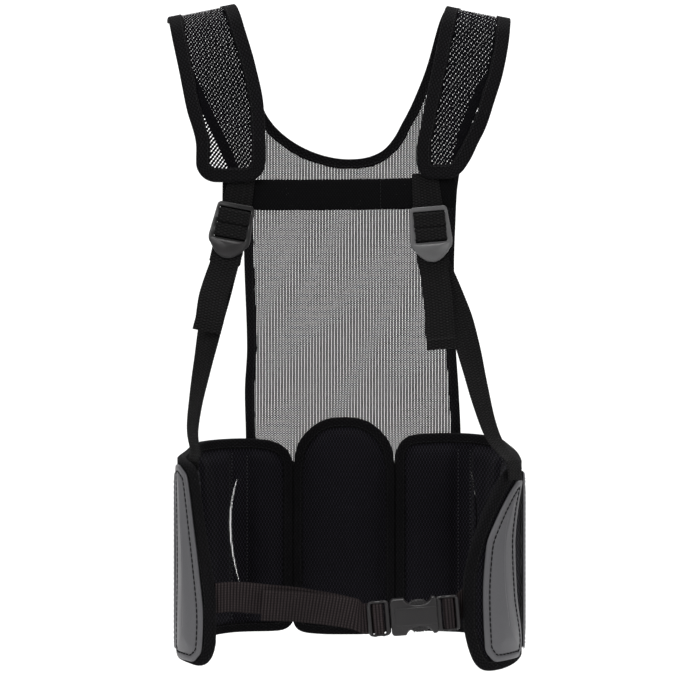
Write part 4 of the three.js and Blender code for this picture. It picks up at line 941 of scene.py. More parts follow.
def stitch_tree():
    """Geometry nodes that lay one stitch at each pitch along a line, flat on its surface."""
    tree = bpy.data.node_groups.new("stitch row", "GeometryNodeTree")
    tree.interface.new_socket("Geometry", in_out="INPUT", socket_type="NodeSocketGeometry")
    for label in ("Pitch", "Length", "Thickness"):
        tree.interface.new_socket(label, in_out="INPUT", socket_type="NodeSocketFloat")
    tree.interface.new_socket("Thread", in_out="INPUT", socket_type="NodeSocketMaterial")
    tree.interface.new_socket("Geometry", in_out="OUTPUT", socket_type="NodeSocketGeometry")
    nodes = Nodes(tree)
    given = nodes.add("NodeGroupInput").outputs
    line = nodes.add("GeometryNodeMeshToCurve", {"Mesh": given["Geometry"]}).outputs[0]
    spots = nodes.add("GeometryNodeResampleCurve", {"Curve": line, "Length": given["Pitch"]}, mode="LENGTH")
    size = nodes.add("ShaderNodeCombineXYZ", {"X": given["Thickness"], "Y": given["Thickness"],
                                              "Z": given["Length"]}).outputs[0]
    half = nodes.add("ShaderNodeVectorMath", {0: size, "Scale": 0.5}, operation="SCALE").outputs[0]
    ball = nodes.add("GeometryNodeMeshUVSphere", {"Segments": 6, "Rings": 4, "Radius": 1.0}).outputs[0]
    thread = nodes.add("GeometryNodeTransform", {"Geometry": ball, "Scale": half}).outputs[0]
    thread = nodes.add("GeometryNodeSetShadeSmooth", {"Geometry": thread}).outputs[0]
    tangent = nodes.add("GeometryNodeInputTangent").outputs[0]
    up = nodes.add("GeometryNodeInputNamedAttribute", {"Name": "up"}, data_type="FLOAT_VECTOR").outputs[0]
    lying = nodes.add("FunctionNodeAlignRotationToVector", {"Vector": tangent}, axis="Z").outputs[0]
    turned = nodes.add("FunctionNodeAlignRotationToVector", {"Rotation": lying, "Vector": up},
                       axis="X", pivot_axis="Z").outputs[0]
    copies = nodes.add("GeometryNodeInstanceOnPoints", {"Points": spots.outputs[0], "Instance": thread,
                                                        "Rotation": turned}).outputs[0]
    whole = nodes.add("GeometryNodeRealizeInstances", {"Geometry": copies}).outputs[0]
    dressed = nodes.add("GeometryNodeSetMaterial", {"Geometry": whole, "Material": given["Thread"]})
    nodes.add("NodeGroupOutput", {"Geometry": dressed.outputs[0]})
    return tree


STITCH_TREE = stitch_tree()


def stitch_rows(name, rows, material, pitch, length, thick):
    """Rows of stitches: each row is a line of points, the way up at each, and whether it is a loop."""
    points, edges, ups = [], [], []
    for line, over, closed in rows:
        start = sum(len(part) for part in points)
        count = len(line)
        points.append(line)
        ups.append(over)
        edges += [(start + k, start + k + 1) for k in range(count - 1)]
        if closed:
            edges.append((start + count - 1, start))
    mesh = bpy.data.meshes.new(name)
    mesh.from_pydata(np.concatenate(points).tolist(), edges, [])
    mesh.attributes.new("up", "FLOAT_VECTOR", "POINT").data.foreach_set("vector", np.concatenate(ups).ravel())
    piece = bpy.data.objects.new(name, mesh)
    bpy.context.scene.collection.objects.link(piece)
    modifier = piece.modifiers.new("stitches", "NODES")
    modifier.node_group = STITCH_TREE
    values = {"Pitch": pitch, "Length": length, "Thickness": thick, "Thread": material}
    for item in STITCH_TREE.interface.items_tree:
        if item.in_out == "INPUT" and item.name in values:
            modifier[item.identifier] = values[item.name]
    apply_modifier(piece, modifier)
    if "up" in piece.data.attributes:
        piece.data.attributes.remove(piece.data.attributes["up"])
    return piece


def build_tapes():
    half = NET_THICK / 2
    lines = {"side_tape_left": (LEFT_EDGE[::-1], "side_binding_left"),
             "side_tape_right": (RIGHT_EDGE, "side_binding_right"),
             "neck_tape": (NECK_EDGE, "neck_binding")}
    for name, (path, node) in lines.items():
        tape = tape_piece(name, path, back_surface, TAPE_WIDTH, half, half, wrinkle=back_wrinkle)
        fit(tape, "tape", node)
    for side in SIDES:
        edge = strap_edge(side)
        path = edge[::-1] if side == "left" else edge
        half = STRAP_THICK / 2
        tape = tape_piece(f"strap_tape_{side}", path, strap_surface, STRAP_TAPE_WIDTH, half, half)
        fit(tape, "tape", f"strap_binding_{side}")
        tape = tape_piece(f"wing_tape_{side}", wing_loop(side), wing_surface(side), PAD_TAPE_WIDTH, PAD_OUT,
                          PAD_RIM_IN, closed=True)
        fit(tape, "tape", f"wing_binding_{side}")
    tape = tape_piece("spine_tape", spine_loop(), spine_surface, PAD_TAPE_WIDTH, PAD_OUT, PAD_RIM_IN,
                      closed=True)
    fit(tape, "tape", "spine_binding")


# Padding

PAD_STEP = 0.0045
PAD_SWELL_CAP = 0.005
PAD_PRESSURE = 4.0
PAD_FRAMES = 20
# Depths past the rim and short of the foam between which the cloth comes free
PAD_HELD = {"rim": 0.0015, "foam": 0.001}
FOAM_CLEAR = {"wing": 0.0015, "spine": 0.001}
SLIT_STEPS = 14
SLIT_END = 0.12
SLIT_NET_STEPS = 30
WING_STEPS = 400
SLIT_DEPTH = (-0.05, 0.05)
SLIT_STRIP = 0.0032
SLIT_NET = {"pitch": 0.0009, "course": 0.0016, "turn": 0.0, "holes": (0.00062, 0.00062)}
SEAM = {"in": -0.0012, "rim": 0.012, "proud": 0.0010, "step": 0.003}
SEAM_STITCH = {"pitch": 0.0031, "length": 0.0012, "thick": 0.0007}


def pad_mesh(name, columns, edges, surface, outline, foam):
    """A closed pad: a flat outer face, and an inner face that stands proud over each foam block."""
    low, high = edges
    rows = int(round(np.max(high(columns) - low(columns)) / PAD_STEP))
    share = np.linspace(0, 1, rows + 1)
    along = np.broadcast_to(columns[:, None], (len(columns), rows + 1))
    up = low(columns)[:, None] + (high(columns) - low(columns))[:, None] * share[None, :]
    depth = foam(along, up, edge_distance(np.stack([along, up], -1), outline))
    outer = surface(along, up, np.full(along.shape, PAD_OUT)).reshape(-1, 3)
    inner = surface(along, up, -depth).reshape(-1, 3)
    count = len(outer)
    face = grid_faces(*along.shape)
    index = np.arange(count).reshape(along.shape)
    rim = np.concatenate([index[:, 0], index[-1, 1:-1], index[::-1, -1], index[0, -2:0:-1]])
    band = np.stack([rim, np.roll(rim, -1), np.roll(rim, -1) + count, rim + count], -1)
    faces = np.concatenate([face, face[:, ::-1] + count, band[:, ::-1]])
    points = np.concatenate([outer, inner])
    pad = piece_from(name, points, outward(points, faces), PAD_KNIT)
    swells = smooth_step(depth.ravel(), PAD_RIM_IN + PAD_HELD["rim"], PAD_FOAM_IN - PAD_HELD["foam"])
    return pad, np.concatenate([np.zeros(count), swells])


def swollen(pad, free):
    """Let air pressure round the foam blocks, with the sewn rim, channels and outer face held."""
    group = pad.vertex_groups.new(name="held")
    for index, share in enumerate(free):
        group.add([index], 1 - share, "REPLACE")
    start = np.array([vertex.co[:] for vertex in pad.data.vertices])
    cloth = pad.modifiers.new("cloth", "CLOTH")
    cloth.settings.use_pressure = True
    cloth.settings.uniform_pressure_force = PAD_PRESSURE
    cloth.settings.vertex_group_mass = "held"
    cloth.settings.effector_weights.gravity = 0
    cloth.point_cache.frame_start = 1
    cloth.point_cache.frame_end = PAD_FRAMES
    for frame_number in range(1, PAD_FRAMES + 1):
        bpy.context.scene.frame_set(frame_number)
    apply_modifier(pad, cloth)
    bpy.context.scene.frame_set(1)
    moved = np.array([vertex.co[:] for vertex in pad.data.vertices]) - start
    size = np.linalg.norm(moved, axis=1)
    moved *= (np.minimum(size, PAD_SWELL_CAP) / np.maximum(size, 1e-9))[:, None]
    pad.data.vertices.foreach_set("co", (start + moved).ravel())
    pad.vertex_groups.clear()
    pad.data.update()


def rounded(piece, levels=1):
    modifier = piece.modifiers.new("round", "SUBSURF")
    apply_modifier(piece, modifier, levels=levels, render_levels=levels)


def slit_line(side, steps=SLIT_STEPS):
    """Places along the slit of a wing, as x and height above the belt's lower edge."""
    (x0, up0), (x1, up1), (x2, up2) = WINGS[side]["slit"]
    bend = (2 * x1 - (x0 + x2) / 2, up1)
    return np.array(curve_points((x0, up0), bend, (x2, up2), steps))


def cut_slit(pad, side):
    """Cut the long slit of a wing right through its pad."""
    line = slit_line(side)
    taper = np.sin(np.linspace(SLIT_END, np.pi - SLIT_END, len(line))) ** 0.5 * SLIT_WIDTH[side] / 2
    loop = np.concatenate([np.stack([line[:, 0] - taper, line[:, 1]], -1),
                           np.stack([line[:, 0] + taper, line[:, 1]], -1)[::-1]])
    count = len(loop)
    walls = [np.stack([loop[:, 0], np.full(count, y), loop[:, 1] + BELT_BOTTOM], -1) for y in SLIT_DEPTH]
    ring = np.arange(count)
    faces = [tuple(ring), tuple(ring[::-1] + count)]
    faces += [(k, (k + 1) % count, (k + 1) % count + count, k + count) for k in range(count)]
    points = np.concatenate(walls)
    cutter = piece_from("slit_cutter", points, outward(points, faces), PAD_KNIT)
    modifier = pad.modifiers.new("slit", "BOOLEAN")
    apply_modifier(pad, modifier, object=cutter, operation="DIFFERENCE", solver="EXACT")
    bpy.data.objects.remove(cutter)


def slit_net(side):
    """A strip of fine net behind the slit of a wing."""
    along = np.linspace(0, path_length(WINGS[side]["plan"]), WING_STEPS)
    line = slit_line(side, SLIT_NET_STEPS)
    reach = np.abs(wing_surface(side)(along, 0, 0)[:, 0])
    rising = np.maximum.accumulate(reach) + along * 1e-6
    middle = np.interp(np.abs(line[:, 0]), rising, along)
    strip = np.concatenate([np.stack([middle - SLIT_STRIP, line[:, 1]], -1),
                            np.stack([middle + SLIT_STRIP, line[:, 1]], -1)[::-1]])
    return net_piece(f"slit_net_{side}", strip, wing_surface(side), SLIT_NET, NET_YARN)


def seam_rows(side):
    """Lines of seam stitches in the channels on both sides of each foam block."""
    surface = wing_surface(side)
    low, high = wing_outline(side)
    blocks = WINGS[side]["foam"]
    rows = []
    for (_, end), (start, _) in zip(blocks, blocks[1:]):
        for along in (end - SEAM["in"], start + SEAM["in"]):
            up = np.arange(float(low(along)) + SEAM["rim"], float(high(along)) - SEAM["rim"], SEAM["step"])
            line = surface(np.full(len(up), along), up, np.full(len(up), -PAD_RIM_IN - SEAM["proud"]))
            rows.append((line, line - surface(np.full(len(up), along), up, np.zeros(len(up))), False))
    return rows


def rim_share(distance, clear):
    """How far the foam has risen at a distance from the pad's edge."""
    start = PAD_TAPE_WIDTH + clear
    return smooth_step(distance, start, start + PAD_RAMP)


def wing_foam(side):
    """Depth of a wing's inner face, which stands proud over its foam blocks."""
    blocks = WINGS[side]["foam"]

    def depth(along, up, distance):
        proud = np.zeros(along.shape)
        for start, end in blocks:
            block = smooth_step(along, start, start + PAD_RAMP) * smooth_step(end - along, 0, PAD_RAMP)
            proud = np.maximum(proud, block)
        return PAD_RIM_IN + (PAD_FOAM_IN - PAD_RIM_IN) * rim_share(distance, FOAM_CLEAR["wing"]) * proud
    return depth


def spine_foam(along, up, distance):
    return PAD_RIM_IN + (PAD_FOAM_IN - PAD_RIM_IN) * rim_share(distance, FOAM_CLEAR["spine"])


def even_columns(length, start=0.0):
    return np.linspace(start, length, int(round((length - start) / PAD_STEP)) + 1)


def build_pads():
    for side in SIDES:
        columns = even_columns(path_length(WINGS[side]["plan"]))
        pad, free = pad_mesh(f"wing_cushion_{side}", columns, wing_outline(side), wing_surface(side),
                             wing_loop(side), wing_foam(side))
        swollen(pad, free)
        rounded(pad)
        cut_slit(pad, side)
        seams = stitch_rows(f"wing_seams_{side}", seam_rows(side), GREY_THREAD, **SEAM_STITCH)
        pad = joined(f"wing_cushion_{side}", [pad, slit_net(side), seams])
        fit(pad, "padding", f"wing_pad_{side}")
    low, high = spine_edges()
    edge = SPINE_ROWS[-1][0]
    edges = (lambda across: low(np.abs(across)), lambda across: high(np.abs(across)))
    pad, free = pad_mesh("spine_cushion", even_columns(edge, -edge), edges, spine_surface, spine_loop(),
                         spine_foam)
    swollen(pad, free)
    rounded(pad)
    fit(pad, "padding", "spine_pad")


# Coated plates

PLATE = {
    "step": 0.0012, "rings": 34, "ring_power": 1.25, "end": 0.028, "slices": 30, "near": 40, "rows": 60,
    "base": 0.0008, "bevel": 0.0012, "bevel_reach": 0.0007, "groove": 0.0007, "groove_half": 0.0010,
    "puff": 0.0016, "puff_from": 0.001, "puff_to": 0.021, "probe": 0.0005, "weld": 1e-5,
}
PLATE_CORNER = {"front": 0.004, "side": 0.008}
PLATE_STITCH_IN = 0.0055
PLATE_STITCH_RISE = 0.0005
PLATE_STITCH_KEPT = 0.97
PLATE_STITCH = {"pitch": 0.0046, "length": 0.0041, "thick": 0.0011}
PLATE_LIFT = PAD_OUT + CURVED_GAP + CAD_TAPE_THICK + CURVED_GAP


def front_plate_loop(side):
    """Outline of a front plate, up its rear edge and down its front edge."""
    wing = WINGS[side]
    length = path_length(wing["plan"])
    up = np.array([row[0] for row in wing["plate"]])
    heights = np.linspace(up[0], up[-1], PLATE["rows"])
    front = length - smooth_line(up, [row[1] for row in wing["plate"]])(heights)
    back = length - smooth_line(up, [row[2] for row in wing["plate"]])(heights)
    return np.concatenate([np.stack([back, heights], -1), np.stack([front, heights], -1)[::-1]])


def side_plate_loop(side):
    wing = WINGS[side]
    end = path_length(wing["plan"]) - max(row[2] for row in wing["plate"]) - SIDE_PLATE["gap"]
    start = end - SIDE_PLATE["width"]
    low, high = SIDE_PLATE["low"], SIDE_PLATE["high"]
    return np.array([(start, low), (end, low), (end, high), (start, high)])


def plate_middle(outline):
    """For each point of an outline, the place on the plate's middle line that its rings close in on."""
    low, high = outline[:, 1].min() + PLATE["end"], outline[:, 1].max() - PLATE["end"]
    slices = np.linspace(low, high, PLATE["slices"])
    height = np.clip(outline[:, 1], low, high)
    middles = []
    for level in slices:
        near = outline[np.argsort(np.abs(outline[:, 1] - level))[:PLATE["near"]], 0]
        middles.append((near.min() + near.max()) / 2)
    return np.stack([np.interp(height, slices, middles), height], -1)


def plate_stitches(name, outline, surface):
    """A row of stitches in the groove inside the plate's rim."""
    normals = path_normals(outline, True)
    if not inside(outline + normals * PLATE["probe"], outline)[len(outline) // 2]:
        normals = -normals
    inset = outline + normals * PLATE_STITCH_IN
    inset = inset[edge_distance(inset, outline) > PLATE_STITCH_IN * PLATE_STITCH_KEPT]
    inset = resampled(inset, PLATE["step"], closed=True)[0]
    groove = PLATE_LIFT + PLATE["base"] + PLATE["bevel"] - PLATE["groove"]
    level = np.full(len(inset), groove + PLATE_STITCH_RISE)
    line = surface(inset[:, 0], inset[:, 1], level)
    over = surface(inset[:, 0], inset[:, 1], level + SMALL_STEP) - line
    return stitch_rows(name, [(line, over, True)], BLACK_THREAD, **PLATE_STITCH)


def plate_piece(name, corners, side, corner_reach):
    """A plate with a bevelled rim, a stitched groove and a slightly puffed middle."""
    surface = wing_surface(side)
    outline = rounded_loop(corners, PLATE["step"], corner_reach)
    share = np.linspace(0, 1, PLATE["rings"])[:, None, None] ** PLATE["ring_power"]
    flat = outline[None] * (1 - share) + plate_middle(outline)[None] * share
    distance = edge_distance(flat, outline)
    rise = PLATE["bevel"] * (1 - np.exp(-distance / PLATE["bevel_reach"]))
    groove = -PLATE["groove"] * np.exp(-((distance - PLATE_STITCH_IN) / PLATE["groove_half"]) ** 2)
    puff = PLATE["puff"] * smooth_step(distance, PLATE_STITCH_IN + PLATE["puff_from"], PLATE["puff_to"])
    top = surface(flat[..., 0], flat[..., 1], PLATE_LIFT + PLATE["base"] + rise + groove + puff)
    under = surface(flat[::-1, :, 0], flat[::-1, :, 1], np.full(distance.shape, PLATE_LIFT))
    points = np.concatenate([top, under]).reshape(-1, 3)
    faces = [tuple(face) for face in grid_faces(2 * PLATE["rings"], len(outline), wrap=True)]
    plate = piece_from(name, points, outward(points, faces), COATED)
    weld(plate, PLATE["weld"])
    return joined(name, [plate, plate_stitches(name + "_stitches", outline, surface)])


def build_plates():
    for side in SIDES:
        for name, loop in (("front", front_plate_loop(side)), ("side", side_plate_loop(side))):
            plate = plate_piece(f"{name}_shell_{side}", loop, side, PLATE_CORNER[name])
            fit(plate, "coated", f"{name}_plate_{side}")


# Webbing

# Section of the webbing: its sides, their turn, and powers for its flat faces and soft edges
WEB_SECTION = {"sides": 26, "turn": 0.12, "flat": 0.8, "edge": 7}
# Uneven edges of the webbing as (share, length)
WEB_WAVES = [(0.006, RIB["pitch"]), (0.008, 0.037)]
WEB_STEP = 0.004
BEND_STEPS = 7
BEND_SHARE = 0.45
ELASTIC_RIB = 0.06
TAIL = {"first": 0.03, "short": 0.01, "steps": 24, "hem_layers": 1.9}
CHEST_STEPS = 60
CHEST_SAG = 0.0008
CHEST_STITCHES = {"reach": 0.42, "count": 20}
WAIST_CLEAR = 0.012
WAIST_SLOPE_REACH = 0.005
WAIST_HEM_STATIONS = 3


def station(place, across, face, layers=1.0, wide=1.0):
    """One row of a webbing route: its place, the way across and off its face, and its shares."""
    return np.concatenate([place, across, face, [layers, wide]])


def web_piece(name, stations, material, width=WEB_WIDTH, thick=WEB_THICK, rib=RIB["depth"]):
    """Flat webbing through stations, with raised cross ribs and soft edges."""
    stations = np.asarray(stations)
    reach = distances(stations[:, :3])
    at = np.arange(0, reach[-1], RIB["step"])
    dense = np.stack([np.interp(at, reach, column) for column in stations.T], -1)
    place, layers, share = dense[:, :3], dense[:, 9], dense[:, 10]
    across = unit(dense[:, 3:6])
    face = dense[:, 6:9]
    face = unit(face - across * np.sum(face * across, axis=1)[:, None])
    turn = np.linspace(0, 2 * np.pi, WEB_SECTION["sides"], endpoint=False) + WEB_SECTION["turn"]
    wide = np.sign(np.cos(turn)) * np.abs(np.cos(turn)) ** WEB_SECTION["flat"]
    high = np.sign(np.sin(turn)) * (1 - np.abs(wide) ** WEB_SECTION["edge"]) ** 0.5
    ribs = 1 - rib * (0.5 + 0.5 * np.cos(at * 2 * np.pi / RIB["pitch"]))
    half = thick * layers / 2 * ribs
    lift = thick * (layers - 1) / 2
    waves = sum(size * np.sin(at * 2 * np.pi / length) for size, length in WEB_WAVES)
    edge = width / 2 * share * (1 + waves)
    rings = (place[:, None] + across[:, None] * (edge[:, None] * wide[None])[..., None]
             + face[:, None] * (half[:, None] * high[None] + lift[:, None])[..., None])
    uv = np.stack(np.broadcast_arrays(width / 2 * wide[None, :], at[:, None]), -1).copy()
    return swept(name, rings, material, uv)


def bent_run(corners, to_world):
    """Stations along a side view of depths and heights whose corners are rounded."""
    corners = [np.array(corner, float) for corner in corners]
    points = [corners[0]]
    for before, corner, after in zip(corners, corners[1:], corners[2:]):
        start, end = before - corner, after - corner
        reach = min(WEB_BEND, BEND_SHARE * np.linalg.norm(start), BEND_SHARE * np.linalg.norm(end))
        points += curve_points(corner + unit(start) * reach, corner, corner + unit(end) * reach, BEND_STEPS)
    points.append(corners[-1])
    points = np.array(points)
    ways = unit(headings(points))
    return [to_world(point, np.array([way[1], -way[0]])) for point, way in zip(points, ways)]


# Webbing fills the lock's window, its two loops touch, and a tab narrows under the strap
LOCK_FILL = 1.09
LOOP_CLOSE = 0.0003
TAB_TOP_SHARE = 0.88
LOCK_SLOT_TOP = -LOCK["top_bar"]
LOCK_TAB_BAR = LOCK_SLOT_TOP - LOCK["slot"]
LOCK_MID_SLOT = LOCK_TAB_BAR - LOCK["tab_bar"]
LOCK_WEB_BAR = LOCK_MID_SLOT - LOCK["mid_slot"]
LOCK_LOW_SLOT = LOCK_WEB_BAR - LOCK["web_bar"]
LOCK_TONGUE = LOCK_LOW_SLOT - LOCK["slot"]
LOCK_TIP = LOCK_TONGUE - LOCK["tongue"]
LOCK_LAYER = LOCK["thick"] / 2 + CAD_GAP + WEB_THICK / 2


def behind_strap(side):
    """Where webbing lies behind the lower end of a front strap, over its tape."""
    within = STRAP_THICK / 2 + 2 * CAD_GAP + CAD_TAPE_THICK + WEB_THICK / 2
    return strap_surface(LOCKS[side]["x"], STRAPS[side]["bottom"], -within)


def lock_depth(side):
    tab = behind_strap(side)
    return tab[1] - (tab[2] - LOCKS[side]["z"]) * math.tan(FRONT_LEAN) - LOCK_LAYER / math.cos(FRONT_LEAN)


def lock_matrix(side):
    lock = LOCKS[side]
    place = Matrix.Translation((lock["x"], lock_depth(side), lock["z"]))
    return place @ Matrix.Rotation(-FRONT_LEAN, 4, "X") @ Matrix.Rotation(lock["tilt"], 4, "Y")


def lock_view(side):
    """Turns a depth and height beside a lock into a station of webbing."""
    matrix = np.array(lock_matrix(side))
    across = matrix[:3, 0]

    def to_world(point, normal):
        place = matrix[:3, :3] @ np.array([0, point[0], point[1]]) + matrix[:3, 3]
        return station(place, across, matrix[:3, :3] @ np.array([0, normal[0], normal[1]]), wide=LOCK_FILL)
    return to_world


def tab_run(side):
    """Down from the strap, round the upper bar of the lock and up again behind it."""
    slot = LOCK_TAB_BAR + WEB_THICK / 2 + CAD_GAP
    leave = LOCK_MID_SLOT - BAR_CLEAR - LOOP_CLOSE
    top = behind_strap(side)[2] - LOCKS[side]["z"] + TAB_LAP
    corners = [(LOCK_LAYER, top), (LOCK_LAYER, slot), (-LOCK_LAYER, slot), (-LOCK_LAYER, leave),
               (LOCK_LAYER, leave), (LOCK_LAYER, slot - LOCK["tab_end"])]
    run = bent_run(corners, lock_view(side))
    run[0][-1] = TAB_TOP_SHARE
    return run


def tail_run(start, lock):
    """The free tail hangs in front of the strap and ends in a doubled hem."""
    place, across, face = start[:3], start[3:6], start[6:9]
    hem = 1 - HEM / lock["tail"]
    hem_layers = TAIL["hem_layers"]
    drift = smooth_line([0, TAIL_BOW[0], hem, 1], [0, TAIL_BOW[1], hem, 1])
    parts = [(share, 1) for share in np.linspace(TAIL["first"], hem - TAIL["short"], TAIL["steps"])]
    parts += [(hem, hem_layers), (1.0, hem_layers)]
    run = []
    for share, layers in parts:
        down = lock["tail"] * share
        move = np.array([lock["drift"] * float(drift(share)), -TAIL_LEAN * down, -down])
        run.append(station(place + move, across, face, layers))
    return run


def main_run(start, side):
    """The strap goes down to the belt, turns with the wing and laps over its tape."""
    wing = WINGS[side]
    surface = wing_surface(side)
    along = path_length(wing["plan"]) - wing["web_back"]
    high = float(wing_outline(side)[1](along))
    lap_at, free_at = LAP[wing["lap_face"]]
    tangent = unit(surface(along - SMALL_STEP, 0, 0) - surface(along + SMALL_STEP, 0, 0))
    tangent = -tangent if tangent[0] < 0 else tangent
    inward = unit(surface(along, 0, 0) - surface(along, 0, SMALL_STEP))
    lower = [(-wing["lap"], lap_at), (LAP_EDGE, lap_at), (LAP_FREE, free_at)]
    lower = [station(surface(along, high + up, offset), tangent, inward) for up, offset in lower]
    begin, end = lower[-1][:3], start[:3]
    via = []
    for x, z, slack in wing["web_via"]:
        share = (z - begin[2]) / (end[2] - begin[2])
        via.append(np.array([x, begin[1] + share * (end[1] - begin[1]) + slack, z]))
    curve = spline([begin] + via + [end], WEB_STEP)
    run = []
    for share, place in zip(np.linspace(0, 1, len(curve))[1:-1], curve[1:-1]):
        twist = share ** wing["twist"]
        across = unit(tangent + (start[3:6] - tangent) * twist)
        face = inward + (start[6:9] - inward) * twist
        run.append(station(place, across, unit(face - across * np.dot(face, across))))
    return lower + run


def adjuster_run(side):
    """Up from the belt, round the lower bar of the lock and down again as the free tail."""
    second = LOCK_LAYER + WEB_THICK + CAD_GAP
    enter = LOCK_WEB_BAR + BAR_CLEAR + LOOP_CLOSE
    leave = LOCK_LOW_SLOT - LOCK["slot"] / 2
    corners = [(second, LOCK_TIP - LOCK["main_below"]), (second, enter), (-LOCK_LAYER, enter),
               (-LOCK_LAYER, leave), (LOCK_LAYER, leave), (LOCK_LAYER, LOCK_TIP - LOCK["tail_below"])]
    loop = bent_run(corners, lock_view(side))
    return main_run(loop[0], side) + loop + tail_run(loop[-1], LOCKS[side])


def chest_run():
    """The elastic lies behind both tabs and sags a little between them."""
    depth = LOCK_LAYER + WEB_THICK + CAD_GAP
    middle = CHEST["top"] - ELASTIC_WIDTH / 2 * math.cos(FRONT_LEAN)
    across = np.array([0, -math.sin(FRONT_LEAN), -math.cos(FRONT_LEAN)])
    face = np.array([0, math.cos(FRONT_LEAN), -math.sin(FRONT_LEAN)])
    ends = []
    for side in SIDES:
        rise = middle - LOCKS[side]["z"]
        deep = lock_depth(side) + rise * math.tan(FRONT_LEAN) + depth / math.cos(FRONT_LEAN)
        ends.append(np.array([CHEST[side], deep, middle + CHEST["rise"][side]]))
    run = []
    for share in np.linspace(0, 1, CHEST_STEPS):
        sag = np.array([0, 0, -CHEST_SAG * math.sin(share * math.pi)])
        run.append(station(ends[0] + (ends[1] - ends[0]) * share + sag, across, face))
    return run


def chest_seam():
    """Stitches across the elastic where its two ends are joined."""
    run = np.array(chest_run())
    place = np.array([np.interp(CHEST_SEAM, run[:, 0], run[:, k]) for k in range(3)])
    across, face = run[0, 3:6], run[0, 6:9]
    reach = CHEST_STITCHES["reach"]
    spots = np.linspace(-reach, reach, CHEST_STITCHES["count"]) * ELASTIC_WIDTH
    line = place + across * spots[:, None] - face * (WEB_THICK / 2 + STITCH_PROUD)
    over = np.tile(-face * SMALL_STEP, (len(line), 1))
    return stitch_rows("chest_seam", [(line, over, False)], THREAD, **STITCH)


BUCKLE_MATRIX = Matrix.Translation(BUCKLE["place"]) @ Matrix.Rotation(BUCKLE["tilt"], 4, "Y")
BODY_LOW = -BUCKLE["half"] + BUCKLE["frame"]
BODY_HIGH = BUCKLE["half"] - BUCKLE["frame"] + BUCKLE["overlap"]


def frame_slots(outer_end, way):
    """The two slots of a strap frame, each as its low and high x, the outer one first."""
    slots = []
    at = outer_end + way * BUCKLE["bar"]
    for _ in range(2):
        slots.append(tuple(sorted((at, at + way * BUCKLE["slot"]))))
        at += way * (BUCKLE["slot"] + BUCKLE["bar"])
    return slots


PRONG_SLOTS = frame_slots(-BUCKLE["half"], 1)
SOCKET_SLOTS = frame_slots(BUCKLE["half"], -1)


def bar_loop(slots, way, reach):
    """Webbing in behind, round the inner bar of the buckle and back in front of itself."""
    layer = BUCKLE["frame_thick"] / 2 + CAD_GAP + WEB_THICK / 2
    second = layer + WEB_THICK + CAD_GAP
    outer_slot, inner_slot = (sum(slot) / 2 for slot in slots)
    corners = [(outer_slot - way * reach[0], second), (inner_slot, second), (inner_slot, -layer),
               (outer_slot, -layer), (outer_slot, layer), (outer_slot - way * reach[1], layer)]
    matrix = np.array(BUCKLE_MATRIX)

    def to_world(point, normal):
        place = matrix[:3, :3] @ np.array([point[0], point[1], 0]) + matrix[:3, 3]
        return station(place, matrix[:3, 2], matrix[:3, :3] @ np.array([normal[0], normal[1], 0]))
    return bent_run(corners, to_world)


def wing_anchor(side, back):
    """Where the waist strap is sewn to the inside of a wing, back from its front edge."""
    surface = wing_surface(side)
    along = path_length(WINGS[side]["plan"]) - back
    within = -(PAD_RIM_IN + CURVED_GAP + CAD_TAPE_THICK + CAD_GAP + WEB_THICK / 2)
    face = unit(surface(along, 0, 0) - surface(along, 0, SMALL_STEP))
    return station(surface(along, WAIST_STRAP_UP, within), np.array([0, 0, 1.0]), face)


def waist_run(start_x, start_y, loop, end_x):
    """The waist strap along its sagging line, as deep as the buckle's loop at its end."""
    height = smooth_line([row[0] for row in WAIST_LINE], [row[1] for row in WAIST_LINE])
    run = []
    reach = WAIST_SLOPE_REACH
    for x in np.arange(start_x, end_x, WEB_STEP):
        share = (x - start_x) / (loop[0] - start_x)
        slope = float(height(x + reach) - height(x - reach)) / (2 * reach)
        place = np.array([x, start_y + share * (loop[1] - start_y), float(height(x))])
        run.append(station(place, unit(np.array([-slope, 0, 1.0])), np.array([0, 1.0, 0])))
    return run


def faces_joined(stations):
    """Turn the face of each station square to the webbing's width and to the way it runs."""
    stations = np.array(stations)
    stations[:, 6:9] = unit(np.cross(stations[:, 3:6], headings(stations[:, :3])))
    return stations


def build_webbing():
    for side in SIDES:
        tab = web_piece(f"tab_web_{side}", tab_run(side), WEB_CLOTH)
        fit(tab, "webbing", f"strap_tab_{side}")
        web = web_piece(f"adjuster_web_{side}", adjuster_run(side), WEB_CLOTH)
        fit(web, "webbing", f"adjust_strap_{side}")
    chest = web_piece("chest_elastic", chest_run(), ELASTIC_CLOTH, ELASTIC_WIDTH, WEB_THICK, ELASTIC_RIB)
    fit(joined("chest_elastic", [chest, chest_seam()]), "webbing", "chest_strap")
    loop = bar_loop(PRONG_SLOTS, 1, WAIST_REACH["left"])
    anchors = [wing_anchor("left", back) for back in WAIST_ANCHORS["left"]]
    edge = anchors[-1][:3]
    line_end = WAIST_LINE[-1][0]
    main = waist_run(edge[0] + WAIST_CLEAR, edge[1], loop[0][:3], line_end)
    end = loop[-1][:3]
    tail = waist_run(WAIST_TAIL_END, end[1] - WEB_THICK, end, line_end)[::-1]
    for spot in tail:
        spot[2] -= WAIST_TAIL_DROP * (line_end - spot[0]) / (line_end - WAIST_TAIL_END)
    for spot in tail[-WAIST_HEM_STATIONS:]:
        spot[9] = WAIST_HEM
    route = faces_joined(anchors + main + loop + tail)
    fit(web_piece("waist_web_left", route, WAIST_CLOTH), "webbing", "waist_strap_left")
    anchors = [wing_anchor("right", back) for back in WAIST_ANCHORS["right"]]
    route = faces_joined(anchors + bar_loop(SOCKET_SLOTS, -1, WAIST_REACH["right"]))
    fit(web_piece("waist_web_right", route, WAIST_CLOTH), "webbing", "waist_strap_right")


# Moulded adjusters and buckle

BEVEL_STEPS = 5
CRISP_ANGLE = 40
